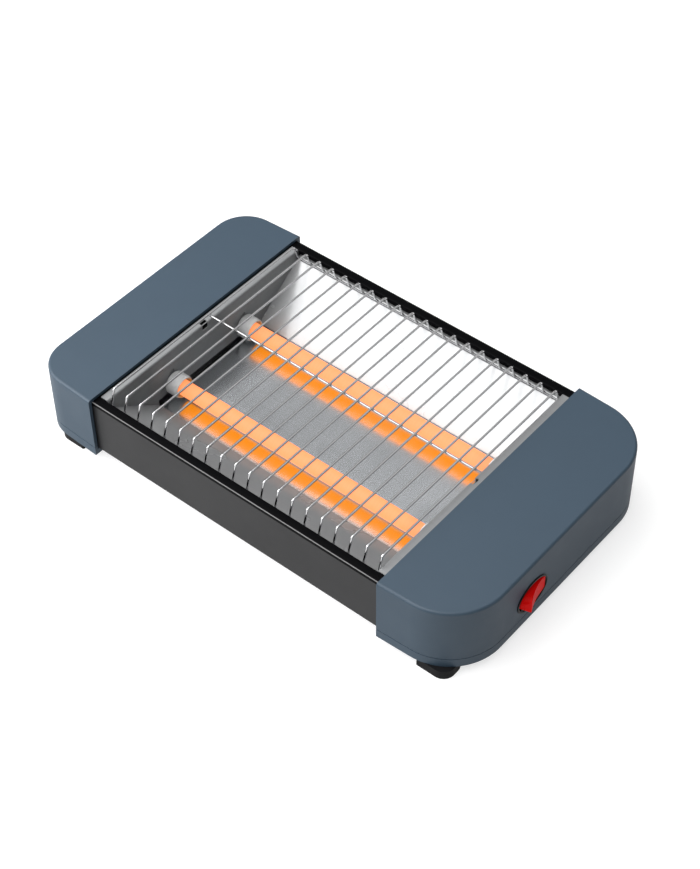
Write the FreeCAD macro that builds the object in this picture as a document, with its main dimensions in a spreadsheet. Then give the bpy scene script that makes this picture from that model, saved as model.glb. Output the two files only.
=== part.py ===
import FreeCAD, Part
import math
import os
import Sketcher
from types import SimpleNamespace

# A flat toaster: a long wire rack over two glowing quartz tubes, between two moulded end caps.
# Millimetres, +Z up, +X towards the switch, the front is -Y.
# The origin is the bottom centre of the whole toaster's box, on the table under its feet.

os.makedirs("parts", exist_ok=True)
document = FreeCAD.newDocument("flat_toaster")

# Driving dimensions
# Heights are counted from the lower edge of the end caps, unless the name says otherwise.
SIZES = {
    # feet
    "foot_height": 7.2,
    "foot_length": 24.7,
    "foot_width": 22.0,
    "foot_corner_radius": 9.0,
    "foot_inner_radius": 1.2,
    "foot_side_inset": 2.7,
    "left_foot_end_inset": 16.0,
    "right_foot_end_inset": 12.85,
    "foot_peg_radius": 2.8,
    "foot_peg_clearance": 0.1,
    # end caps and their base covers
    "left_cap_length": 56.95,
    "right_cap_length": 68.3,
    "cap_half_width": 112.5,
    "cap_side_taper": 2.6,
    "cap_height": 54.1,
    "cap_wall": 2.6,
    "left_corner_radius": 27.0,
    "right_corner_radius": 43.0,
    "cap_edge_radius": 2.0,
    "parting_height": 7.8,
    "parting_groove": 0.5,
    "cover_lip_height": 2.5,
    "cover_lip_wall": 1.4,
    "cover_lip_clearance": 0.2,
    "overrun": 1.0,
    "boss_radius": 3.8,
    "post_radius": 4.6,
    "boss_end_inset": 24.0,
    "boss_half_spacing": 72.0,
    "chassis_screw_inset": 7.1,
    "chassis_screw_half_spacing": 67.5,
    # bay between the caps
    "bay_length": 254.8,
    "bulkhead_inset": 1.8,
    "bulkhead_thickness": 2.0,
    "bulkhead_clearance": 0.2,
    # panels and rims
    "panel_inset": 3.5,
    "panel_bottom_height": 5.0,
    "panel_return": 10.0,
    "panel_bend_radius": 2.4,
    "rim_height": 51.25,
    "rim_width": 7.0,
    "rim_skirt": 1.2,
    "rim_lip": 3.6,
    "rim_edge_radius": 0.6,
    "panel_rim_gap": 0.4,
    "sheet": 0.8,
    "bottom_plate_overlap": 9.0,
    "vent_count": 9,
    "vent_pitch": 24.0,
    "vent_length": 42.0,
    "vent_width": 5.0,
    "vent_row_distance": 70.0,
    # heating chamber
    "chamber_end_gap": 7.5,
    "end_plate_flange": 6.2,
    "end_plate_bend_radius": 1.4,
    "end_plate_clearance": 0.3,
    "end_plate_low_edge": 13.8,
    "end_plate_leg_start": 54.0,
    "end_plate_leg_end": 96.0,
    "end_plate_foot": 7.0,
    "end_plate_notch_width": 6.0,
    "end_plate_notch_depth": 5.0,
    "end_plate_notch_length": 3.5,
    "end_plate_notch_offset": -1.5,
    "clip_notch_width": 4.0,
    "clip_notch_height": 2.2,
    "floor_height": 10.2,
    "floor_half_width": 55.0,
    "reflector_sheet": 0.5,
    "reflector_lip_width": 7.2,
    "reflector_lip_height": 45.5,
    "reflector_end_gap": 0.3,
    # crumb tray
    "tray_sheet": 0.6,
    "tray_front_overlap": 5.5,
    "tray_back_gap": 2.4,
    "tray_tongue_inset": 4.0,
    "tray_side_clearance": 0.6,
    "tray_top_clearance": 0.3,
    "tray_slot_clearance": 0.6,
    "tray_pull_half_length": 44.0,
    "tray_pull_height": 9.6,
    "tray_pull_thickness": 2.6,
    "tray_pull_gap": 0.4,
    "tray_pull_edge_radius": 1.1,
    "runner_width": 6.0,
    "runner_end_inset": 8.0,
    "runner_clearance": 0.1,
    "runner_back_gap": 1.0,
    # wire rack
    "wire_count": 20,
    "wire_end_gap": 0.3,
    "wire_radius": 0.85,
    "wire_bend_inset": 6.4,
    "wire_splay": 17.5,
    "wire_top_height": 59.8,
    "wire_front_bend": 2.6,
    "wire_back_bend": 4.6,
    "centre_rod_radius": 0.85,
    "centre_rod_offset": 2.6,
    "long_rod_radius": 0.9,
    "rod_seat_clearance": 0.2,
    "weld_gap": 0.04,
    # heater tubes
    "tube_radius": 5.75,
    "tube_wall": 1.2,
    "tube_half_spacing": 38.2,
    "tube_height": 21.5,
    "coil_radius": 3.4,
    "coil_end_inset": 8.0,
    "coil_pin_radius": 1.5,
    "coil_pin_clearance": 0.1,
    "ceramic_radius": 9.0,
    "ceramic_reach": 11.0,
    "ceramic_neck_radius": 7.0,
    "ceramic_hole_clearance": 0.15,
    "ceramic_face_gap": 0.3,
    "ceramic_recess_depth": 3.0,
    "ceramic_recess_rim": 1.3,
    "ceramic_edge_radius": 1.6,
    "ceramic_tail": 15.0,
    "tube_seat_depth": 6.0,
    "tube_seat_clearance": 0.1,
    "clip_thickness": 1.0,
    "clip_gap": 0.1,
    "clip_clearance": 0.05,
    "clip_ring": 2.6,
    "clip_ear_width": 3.4,
    "clip_ear_reach": 2.6,
    "terminal_sleeve_radius": 2.6,
    "terminal_sleeve_length": 7.0,
    "terminal_blade_width": 6.3,
    "terminal_blade_length": 8.0,
    "terminal_clearance": 0.02,
    # rocker switch
    "switch_centre": -36.0,
    "switch_height": 23.8,
    "bezel_half_length": 16.6,
    "bezel_half_height": 12.8,
    "bezel_thickness": 0.8,
    "bezel_edge_radius": 0.5,
    "plug_inset": 0.7,
    "plug_depth": 6.0,
    "dish_inset": 1.4,
    "dish_depth": 3.2,
    "rocker_half_length": 12.0,
    "rocker_half_height": 6.7,
    "rocker_crown": 7.8,
    "rocker_dish": 1.5,
    "rocker_back": 3.0,
    "rocker_end_radius": 6.6,
    "cavity_corner_radius": 4.8,
    "barrel_corner_radius": 6.5,
    "rocker_tilt": 15.0,
    "rocker_clearance": 0.3,
    "pivot_depth": 4.0,
    "pivot_radius": 1.5,
    "pivot_stub": 0.8,
    "pivot_clearance": 0.05,
    "pivot_end_gap": 0.3,
    "housing_wall": 1.0,
    "housing_depth": 20.0,
    "housing_fit": 0.2,
    "switch_blade_length": 8.0,
    "switch_blade_spacing": 9.0,
    # cord gland, terminal block, fuse and wires
    "gland_distance": 16.0,
    "gland_height": 22.0,
    "gland_bore_radius": 3.6,
    "gland_sleeve_radius": 6.0,
    "gland_flange_radius": 8.2,
    "gland_flange": 0.55,
    "gland_length": 11.0,
    "gland_fit": 0.1,
    "gland_seat": 0.4,
    "gland_inner_flange": 2.0,
    "gland_inner_gap": 0.5,
    "block_length": 30.0,
    "block_width": 14.0,
    "block_height": 13.0,
    "block_distance": 22.0,
    "block_centre": 50.0,
    "block_way_radius": 1.6,
    "block_way_pitch": 10.0,
    "fuse_height": 42.0,
    "fuse_radius": 2.0,
    "fuse_length": 12.0,
    "fuse_lead_radius": 0.6,
    "fuse_lead_length": 6.0,
    "fuse_clip_wall": 0.8,
    "fuse_clip_width": 6.0,
    "fuse_clip_foot": 3.2,
    "lead_radius": 1.1,
    "lead_bend": 3.6,
    "lead_gap": 0.1,
    # fasteners
    "screw_radius": 1.5,
    "screw_head_radius": 2.8,
    "screw_head_height": 1.8,
    "screw_clearance": 0.1,
    "screw_seat_depth": 2.7,
    "screw_length": 16.0,
    "short_screw_length": 5.0,
    "leg_screw_length": 3.0,
    "thread_floor": 1.0,
    "thread_end_gap": 0.5,
    "plate_screw_half_spacing": 80.0,
}


class Sized:
    """A number that remembers the sheet formula that it comes from."""

    def __init__(self, number, text):
        self.number = number
        self.text = text

    def __add__(self, other):
        other = sized(other)
        return Sized(self.number + other.number, f"({self.text} + {other.text})")

    def __sub__(self, other):
        other = sized(other)
        return Sized(self.number - other.number, f"({self.text} - {other.text})")

    def __mul__(self, other):
        other = sized(other)
        return Sized(self.number * other.number, f"({self.text} * {other.text})")

    def __truediv__(self, other):
        other = sized(other)
        return Sized(self.number / other.number, f"({self.text} / {other.text})")

    def __neg__(self):
        return Sized(-self.number, f"(0 - {self.text})")

    def __radd__(self, other):
        return sized(other) + self

    def __rsub__(self, other):
        return sized(other) - self

    def __rmul__(self, other):
        return sized(other) * self


def sized(value):
    if isinstance(value, Sized):
        return value
    return Sized(float(value), f"({float(value)!r})")


def root(value):
    return Sized(math.sqrt(value.number), f"sqrt({value.text})")


def sine(angle):
    return Sized(math.sin(math.radians(angle.number)), f"sin({angle.text} * 1 deg)")


def cosine(angle):
    return Sized(math.cos(math.radians(angle.number)), f"cos({angle.text} * 1 deg)")


sheet = document.addObject("Spreadsheet::Sheet", "Sizes")
for row, (alias, number) in enumerate(SIZES.items(), start=1):
    sheet.set(f"A{row}", alias)
    sheet.set(f"B{row}", str(number))
    sheet.setAlias(f"B{row}", alias)
document.recompute()
size = SimpleNamespace(**{alias: Sized(float(sheet.get(alias)), f"Sizes.{alias}") for alias in SIZES})

NODES = []


def keep(label, thing):
    """Gives a finished sub-part its name."""
    thing.Label = label
    NODES.append(thing)
    return thing


def bind(thing, path, value):
    """Ties a property to its formula in the sheet."""
    thing.setExpression(path, sized(value).text)


# Bodies built from sketches

def plane(body, role):
    return [item for item in body.Origin.OriginFeatures if item.Role == role][0]


def new_body(name):
    return document.addObject("PartDesign::Body", name)


def new_sketch(body, role, start):
    """A sketch parallel to an origin plane, start away along that plane's positive axis."""
    sketch = body.newObject("Sketcher::SketchObject", "sketch")
    sketch.AttachmentSupport = [(plane(body, role), "")]
    sketch.MapMode = "FlatFace"
    bind(sketch, "AttachmentOffset.Base.z", -sized(start) if role == "XZ_Plane" else start)
    return sketch


def tie(sketch, kind, geometry, point, value):
    """Holds one coordinate of a sketch point at its formula."""
    value = sized(value)
    index = sketch.addConstraint(Sketcher.Constraint(kind, -1, 1, geometry, point, value.number))
    sketch.setExpression(f"Constraints[{index}]", value.text)


def tie_radius(sketch, geometry, value):
    index = sketch.addConstraint(Sketcher.Constraint("Radius", geometry, value.number))
    sketch.setExpression(f"Constraints[{index}]", value.text)


def outline(body, role, start, corners):
    """A closed outline of straight lines through the corners."""
    sketch = new_sketch(body, role, start)
    points = [FreeCAD.Vector(sized(u).number, sized(v).number, 0) for u, v in corners]
    count = len(points)
    for index in range(count):
        sketch.addGeometry(Part.LineSegment(points[index], points[(index + 1) % count]), False)
    for index in range(count):
        sketch.addConstraint(Sketcher.Constraint("Coincident", index, 2, (index + 1) % count, 1))
    for index, (u, v) in enumerate(corners):
        tie(sketch, "DistanceX", index, 1, u)
        tie(sketch, "DistanceY", index, 1, v)
    return sketch


def rectangle(body, role, start, low, high):
    return outline(body, role, start, [low, (high[0], low[1]), high, (low[0], high[1])])


def circles(body, role, start, rounds):
    """Circles, each given as the two coordinates of its centre and its radius."""
    sketch = new_sketch(body, role, start)
    for index, (u, v, radius) in enumerate(rounds):
        centre = FreeCAD.Vector(sized(u).number, sized(v).number, 0)
        circle = Part.Circle(centre, FreeCAD.Vector(0, 0, 1), sized(radius).number)
        sketch.addGeometry(circle, False)
        tie(sketch, "DistanceX", index, 3, u)
        tie(sketch, "DistanceY", index, 3, v)
        tie_radius(sketch, index, sized(radius))
    return sketch


def pad(body, role, sketch, length):
    """Thickens a sketch towards the positive side of its plane."""
    made = body.newObject("PartDesign::Pad", "pad")
    made.Profile = sketch
    made.Reversed = role == "XZ_Plane"
    bind(made, "Length", length)
    return made


def pocket(body, role, sketch, length):
    """Cuts a sketch away towards the positive side of its plane."""
    document.recompute()
    before = body.Shape.Volume
    made = body.newObject("PartDesign::Pocket", "pocket")
    made.Profile = sketch
    made.Reversed = role != "XZ_Plane"
    bind(made, "Length", length)
    document.recompute()
    if body.Shape.Volume >= before:
        raise ValueError(f"a pocket of {body.Name} cuts nothing")
    return made


def rounded(body, radius, test):
    """Rounds every edge of the body that passes the test."""
    document.recompute()
    tip = body.Tip
    names = [f"Edge{n}" for n, edge in enumerate(tip.Shape.Edges, start=1) if test(edge)]
    if not names:
        raise ValueError(f"{body.Name} has no such edge")
    made = body.newObject("PartDesign::Fillet", "round")
    made.Base = (tip, names)
    bind(made, "Radius", radius)
    return made


NEAR = 0.01


def runs_along(edge, axis):
    """True for a straight edge along the axis 0, 1 or 2."""
    if len(edge.Vertexes) < 2:
        return False
    step = edge.Vertexes[1].Point - edge.Vertexes[0].Point
    return abs(abs(step[axis]) - step.Length) < NEAR


def stands_at(edge, axis, value):
    """True for an edge that lies wholly at one coordinate of an axis."""
    box = edge.BoundBox
    low = (box.XMin, box.YMin, box.ZMin)[axis]
    high = (box.XMax, box.YMax, box.ZMax)[axis]
    return abs(low - sized(value).number) < NEAR and abs(high - sized(value).number) < NEAR


def plate(name, role, start, length, corners):
    """A body padded from one straight-sided outline."""
    body = new_body(name)
    pad(body, role, outline(body, role, start, corners), length)
    return body


def turned(name, centre_y, centre_z, profile):
    """A body turned about a line along X. The profile's points are x and radius."""
    body = new_body(name)
    sketch = outline(body, "XZ_Plane", 0, profile)
    made = body.newObject("PartDesign::Revolution", "turning")
    made.Profile = sketch
    made.ReferenceAxis = (sketch, ["H_Axis"])
    made.Angle = 360
    bind(body, "Placement.Base.y", centre_y)
    bind(body, "Placement.Base.z", centre_z)
    return body


# Plain solids and booleans

def box(name, low, high):
    made = document.addObject("Part::Box", name)
    for axis, start in zip("xyz", low):
        bind(made, f"Placement.Base.{axis}", start)
    for side, start, end in zip(("Length", "Width", "Height"), low, high):
        bind(made, side, sized(end) - sized(start))
    return made


TURNS = {
    "x": FreeCAD.Rotation(FreeCAD.Vector(0, 1, 0), 90),
    "y": FreeCAD.Rotation(FreeCAD.Vector(1, 0, 0), -90),
    "z": FreeCAD.Rotation(),
}


def cylinder(name, axis, start, length, radius):
    """A cylinder from its start point towards the positive side of an axis."""
    made = document.addObject("Part::Cylinder", name)
    made.Placement = FreeCAD.Placement(FreeCAD.Vector(), TURNS[axis])
    for direction, value in zip("xyz", start):
        bind(made, f"Placement.Base.{direction}", value)
    bind(made, "Height", length)
    bind(made, "Radius", radius)
    return made


def fused(name, *pieces):
    made = document.addObject("Part::MultiFuse", name)
    made.Shapes = list(pieces)
    return made


def grouped(name, pieces):
    """Separate solids in one sub-part."""
    made = document.addObject("Part::Compound", name)
    made.Links = list(pieces)
    return made


def cut(name, base, *tools):
    made = document.addObject("Part::Cut", name)
    made.Base = base
    made.Tool = tools[0] if len(tools) == 1 else fused(f"{name}_tools", *tools)
    return made


def shared(name, first, second):
    made = document.addObject("Part::Common", name)
    made.Base = first
    made.Tool = second
    return made


# Places worked out from the sizes

base = size.foot_height
cap_top = base + size.cap_height
parting = base + size.parting_height
rim_top = base + size.rim_height
panel_bottom = base + size.panel_bottom_height
floor_top = base + size.floor_height
tube_axis = base + size.tube_height
wire_axis = base + size.wire_top_height - size.wire_radius

# The rocker's proud end is the toaster's farthest point, so it shares in the length.
rocker_length_squared = size.rocker_half_length * size.rocker_half_length
rocker_round = root(rocker_length_squared + size.rocker_crown * size.rocker_crown)
rocker_reach = size.rocker_crown * cosine(size.rocker_tilt)
rocker_reach = rocker_reach + size.rocker_half_length * sine(size.rocker_tilt) - size.pivot_depth
cap_span = size.left_cap_length + size.bay_length + size.right_cap_length
left_end = -(cap_span + rocker_reach) / 2
left_mouth = left_end + size.left_cap_length
right_mouth = left_mouth + size.bay_length
right_end = right_mouth + size.right_cap_length
centre_x = (left_mouth + right_mouth) / 2
panel_half_depth = size.cap_half_width - size.panel_inset
chamber_half_length = size.bay_length / 2 - size.chamber_end_gap
bulkhead_face = size.bay_length / 2 + size.bulkhead_inset
bottom_plate_top = panel_bottom
bottom_plate_bottom = bottom_plate_top - size.sheet
bottom_plate_half_length = size.bay_length / 2 + size.bottom_plate_overlap
end_plate_outer = chamber_half_length + size.sheet

reflector_lip_half_depth = panel_half_depth - size.reflector_lip_width
reflector_foot = floor_top + size.tray_top_clearance + size.reflector_sheet
reflector_lip = base + size.reflector_lip_height
reflector_run = reflector_lip_half_depth - size.floor_half_width
reflector_slope = (reflector_lip - reflector_foot) / reflector_run
slope_length = root(1 + reflector_slope * reflector_slope)

# The rack's long rods lie on the reflectors, and its wires' ends stand on the rods.


def slope_at(depth):
    """Height of a reflector's upper face at a distance from the middle."""
    return reflector_foot + (depth - size.floor_half_width) * reflector_slope


wire_span = (reflector_lip_half_depth - size.wire_bend_inset) * 2
wire_pitch = (chamber_half_length - size.wire_end_gap - size.wire_radius) * 2 / (size.wire_count - 1)
rod_lift = (size.long_rod_radius + size.rod_seat_clearance) * slope_length
leg_lean = sine(size.wire_splay)
leg_rise = cosine(size.wire_splay)
corner_height = wire_axis - rod_lift - slope_at(wire_span / 2)
corner_to_rod = corner_height / (leg_rise + leg_lean * reflector_slope)
leg_length = corner_to_rod - size.weld_gap - size.long_rod_radius
leg_half_depth = wire_span / 2 + leg_length * leg_lean
leg_end = wire_axis - leg_length * leg_rise
rod_half_depth = wire_span / 2 + corner_to_rod * leg_lean
rod_axis = wire_axis - corner_to_rod * leg_rise
first_wire = centre_x - wire_pitch * (size.wire_count - 1) / 2
last_wire = centre_x + wire_pitch * (size.wire_count - 1) / 2

pivot_x = right_end - size.pivot_depth
switch_z = base + size.switch_height
cavity_half_length = rocker_round + size.rocker_clearance
cavity_half_height = size.rocker_half_height + size.rocker_clearance
barrel_half_length = cavity_half_length + size.housing_wall
barrel_half_height = cavity_half_height + size.housing_wall

CAPS = {
    "left": SimpleNamespace(
        side=-1, mouth=left_mouth, end=left_end, length=size.left_cap_length,
        radius=size.left_corner_radius, foot_inset=size.left_foot_end_inset,
    ),
    "right": SimpleNamespace(
        side=1, mouth=right_mouth, end=right_end, length=size.right_cap_length,
        radius=size.right_corner_radius, foot_inset=size.right_foot_end_inset,
    ),
}


# End caps, base covers and bulkheads

def plan_block(name, cap, inset, low, high, reach):
    """A block with the cap's plan, drawn in by inset and carried past its mouth by reach."""
    slope = size.cap_side_taper / cap.length
    mouth = cap.mouth - cap.side * sized(reach)
    end = cap.end - cap.side * sized(inset)
    near = size.cap_half_width + slope * reach - inset
    far = size.cap_half_width - size.cap_side_taper - inset + slope * inset
    corners = [(mouth, -near), (end, -far), (end, far), (mouth, near)]
    body = plate(name, "XY_Plane", low, high - low, corners)
    rounded(body, cap.radius - inset, lambda edge: runs_along(edge, 2) and stands_at(edge, 0, end))
    return body


def boss_places(cap):
    x = cap.end - cap.side * size.boss_end_inset
    return [(x, -size.boss_half_spacing), (x, size.boss_half_spacing)]


def cap_shell(name, cap):
    """The cap's upper moulding, with its screw bosses."""
    outer = plan_block(f"{name}_outer", cap, 0, parting, cap_top, 0)
    top_edges = rounded(
        outer, size.cap_edge_radius,
        lambda edge: stands_at(edge, 2, cap_top) and not stands_at(edge, 0, cap.mouth),
    )
    top_edges.Label = f"{name}_top_round"
    inner = plan_block(
        f"{name}_inner", cap, size.cap_wall, parting - size.overrun, cap_top - size.cap_wall, size.cap_wall
    )
    bosses = []
    holes = []
    for index, (x, y) in enumerate(boss_places(cap)):
        height = size.cap_height - size.parting_height - size.cap_wall
        bosses.append(cylinder(f"{name}_boss_{index}", "z", (x, y, parting), height, size.boss_radius))
        hole = size.screw_radius + size.screw_clearance / 2
        holes.append(cylinder(f"{name}_hole_{index}", "z", (x, y, parting), size.screw_length, hole))
    shell = fused(f"{name}_shell", cut(f"{name}_skin", outer, inner), *bosses)
    return cut(f"{name}_drilled", shell, *holes)


def base_cover(name, cap):
    """The shallow cover under a cap: floor, walls, locating lip, posts and a sill for the body."""
    wall = size.cap_wall
    step = wall + size.cover_lip_clearance
    above = parting + size.cover_lip_height + size.overrun
    outer = plan_block(f"{name}_outer", cap, 0, base, parting - size.parting_groove, 0)
    lip = plan_block(f"{name}_lip", cap, step, base + wall, parting + size.cover_lip_height, -wall)
    hollow = plan_block(f"{name}_hollow", cap, step + size.cover_lip_wall, base + wall, above, -wall)
    wall_middle = cap.mouth + cap.side * wall / 2
    sill_half = size.cap_half_width - wall
    sill = box(
        f"{name}_sill",
        (wall_middle - wall, -sill_half, bottom_plate_bottom),
        (wall_middle + wall, sill_half, above),
    )
    posts = []
    bores = []
    for index, (x, y) in enumerate(boss_places(cap)):
        height = parting - base
        posts.append(cylinder(f"{name}_post_{index}", "z", (x, y, base), height, size.post_radius))
        bore = size.screw_radius + size.screw_clearance
        bores.append(cylinder(f"{name}_bore_{index}", "z", (x, y, base), height, bore))
        head = size.screw_head_radius + size.screw_clearance * 2
        bores.append(cylinder(f"{name}_seat_{index}", "z", (x, y, base), size.screw_seat_depth, head))
    for index, (x, y) in enumerate(chassis_places(cap)):
        height = bottom_plate_bottom - base
        posts.append(cylinder(f"{name}_pillar_{index}", "z", (x, y, base), height, size.boss_radius))
        bore = size.screw_radius + size.screw_clearance / 2
        start = (x, y, base + size.thread_floor)
        bores.append(cylinder(f"{name}_thread_{index}", "z", start, height, bore))
    for index, (x, y) in enumerate(foot_places(cap)):
        bore = size.foot_peg_radius + size.foot_peg_clearance
        bores.append(cylinder(f"{name}_peg_hole_{index}", "z", (x, y, base), wall, bore))
    tray = cut(f"{name}_tray", fused(f"{name}_block", outer, lip), hollow, sill)
    return cut(f"{name}_drilled", fused(f"{name}_whole", tray, *posts), *bores)


def chassis_places(cap):
    x = cap.mouth + cap.side * size.chassis_screw_inset
    return [(x, -size.chassis_screw_half_spacing), (x, size.chassis_screw_half_spacing)]


def foot_places(cap):
    x = cap.end - cap.side * (cap.foot_inset + size.foot_length / 2)
    y = size.cap_half_width - size.foot_side_inset - size.foot_width / 2
    return [(x, -y), (x, y)]


def bulkhead(name, cap):
    """The black wall that closes the cap's mouth, with a hole for each heater tube's end."""
    face = cap.mouth + cap.side * size.bulkhead_inset
    start = face if cap.side > 0 else face - size.bulkhead_thickness
    gap = size.cap_wall + size.bulkhead_clearance
    depth = size.bulkhead_inset + size.bulkhead_thickness
    half = size.cap_half_width - gap - size.cap_side_taper * depth / cap.length
    body = new_body(name)
    sheet_outline = rectangle(body, "YZ_Plane", start, (-half, bottom_plate_top), (half, cap_top - gap))
    pad(body, "YZ_Plane", sheet_outline, size.bulkhead_thickness)
    radius = size.ceramic_radius + size.bulkhead_clearance
    rounds = [(-size.tube_half_spacing, tube_axis, radius), (size.tube_half_spacing, tube_axis, radius)]
    pocket(body, "YZ_Plane", circles(body, "YZ_Plane", start, rounds), size.bulkhead_thickness)
    return body


# Outer body: rims, panels and bottom plate

def mirrored_profile(side, profile):
    """The front's profile as it is, or turned over for the back."""
    if side < 0:
        return profile
    return [(-y, z) for y, z in reversed(profile)]


def rim(name, side):
    """The black strip along the body's upper edge: a small skirt outside and a lip inside."""
    outer = -panel_half_depth
    inner = outer + size.rim_width
    profile = [
        (outer, rim_top - size.rim_skirt),
        (outer, rim_top),
        (inner, rim_top),
        (inner, rim_top - size.rim_lip),
        (inner - size.sheet, rim_top - size.rim_lip),
        (inner - size.sheet, rim_top - size.sheet),
        (outer + size.sheet, rim_top - size.sheet),
        (outer + size.sheet, rim_top - size.rim_skirt),
    ]
    start = centre_x - bulkhead_face
    body = plate(name, "YZ_Plane", start, bulkhead_face * 2, mirrored_profile(side, profile))
    for edge_y in (outer * -side, inner * -side):
        rounded(
            body, size.rim_edge_radius,
            lambda edge: runs_along(edge, 0) and stands_at(edge, 1, edge_y) and stands_at(edge, 2, rim_top),
        )
    return body


def panel(name, side):
    """A vertical side of the body, bent in under the rim and over the bottom plate."""
    outer = -panel_half_depth
    top = rim_top - size.sheet
    inner = outer + size.rim_width - size.sheet - size.panel_rim_gap
    profile = [
        (outer, panel_bottom),
        (outer, top),
        (inner, top),
        (inner, top - size.sheet),
        (outer + size.sheet, top - size.sheet),
        (outer + size.sheet, panel_bottom + size.sheet),
        (outer + size.panel_return, panel_bottom + size.sheet),
        (outer + size.panel_return, panel_bottom),
    ]
    start = centre_x - bulkhead_face
    body = plate(name, "YZ_Plane", start, bulkhead_face * 2, mirrored_profile(side, profile))
    rounded(
        body, size.panel_bend_radius,
        lambda edge: runs_along(edge, 0) and stands_at(edge, 1, outer * -side) and stands_at(edge, 2, top),
    )
    rounded(
        body, size.panel_bend_radius - size.sheet,
        lambda edge: runs_along(edge, 0) and stands_at(edge, 2, top - size.sheet)
        and stands_at(edge, 1, (outer + size.sheet) * -side),
    )
    bore = size.screw_radius + size.screw_clearance
    rounds = [(x, y, bore) for x, y in plate_screw_places() if y.number * side > 0]
    pocket(body, "XY_Plane", circles(body, "XY_Plane", panel_bottom, rounds), size.sheet)
    return body


def plate_screw_places():
    depth = panel_half_depth - size.panel_return / 2
    return [
        (centre_x + sign_x * size.plate_screw_half_spacing, sign_y * depth)
        for sign_x in (-1, 1) for sign_y in (-1, 1)
    ]


def bottom_plate(name):
    """The flat sheet under the chamber, with two rows of vents and its screw holes."""
    half_x = bottom_plate_half_length
    half_y = panel_half_depth - size.sheet * 2
    body = new_body(name)
    low = (centre_x - half_x, -half_y)
    high = (centre_x + half_x, half_y)
    flat = rectangle(body, "XY_Plane", bottom_plate_bottom, low, high)
    pad(body, "XY_Plane", flat, size.sheet)
    bore = size.screw_radius + size.screw_clearance
    places = plate_screw_places() + chassis_places(CAPS["left"]) + chassis_places(CAPS["right"])
    places = places + [place for end in (-1, 1) for place in leg_screw_places(end)]
    rounds = [(x, y, bore) for x, y in places]
    pocket(body, "XY_Plane", circles(body, "XY_Plane", bottom_plate_bottom, rounds), size.sheet)
    first = centre_x - size.vent_pitch * (size.vent_count - 1) / 2
    for side in (-1, 1):
        middle = side * size.vent_row_distance / 2
        low = (first - size.vent_width / 2, middle - size.vent_length / 2)
        high = (first + size.vent_width / 2, middle + size.vent_length / 2)
        opening = rectangle(body, "XY_Plane", bottom_plate_bottom, low, high)
        slot = pocket(body, "XY_Plane", opening, size.sheet)
        row = body.newObject("PartDesign::LinearPattern", "vents")
        row.Originals = [slot]
        row.Direction = (plane(body, "X_Axis"), [""])
        bind(row, "Length", size.vent_pitch * (size.vent_count - 1))
        row.Occurrences = int(size.vent_count.number)
        body.Tip = row
    return body


# Heating chamber: end plates, reflectors, crumb tray and its runners

def leg_screw_places(end):
    x = centre_x + end * (end_plate_outer + size.end_plate_foot / 2 + size.sheet / 2)
    y = (size.end_plate_leg_start + size.end_plate_leg_end) / 2
    return [(x, -y), (x, y)]


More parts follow.
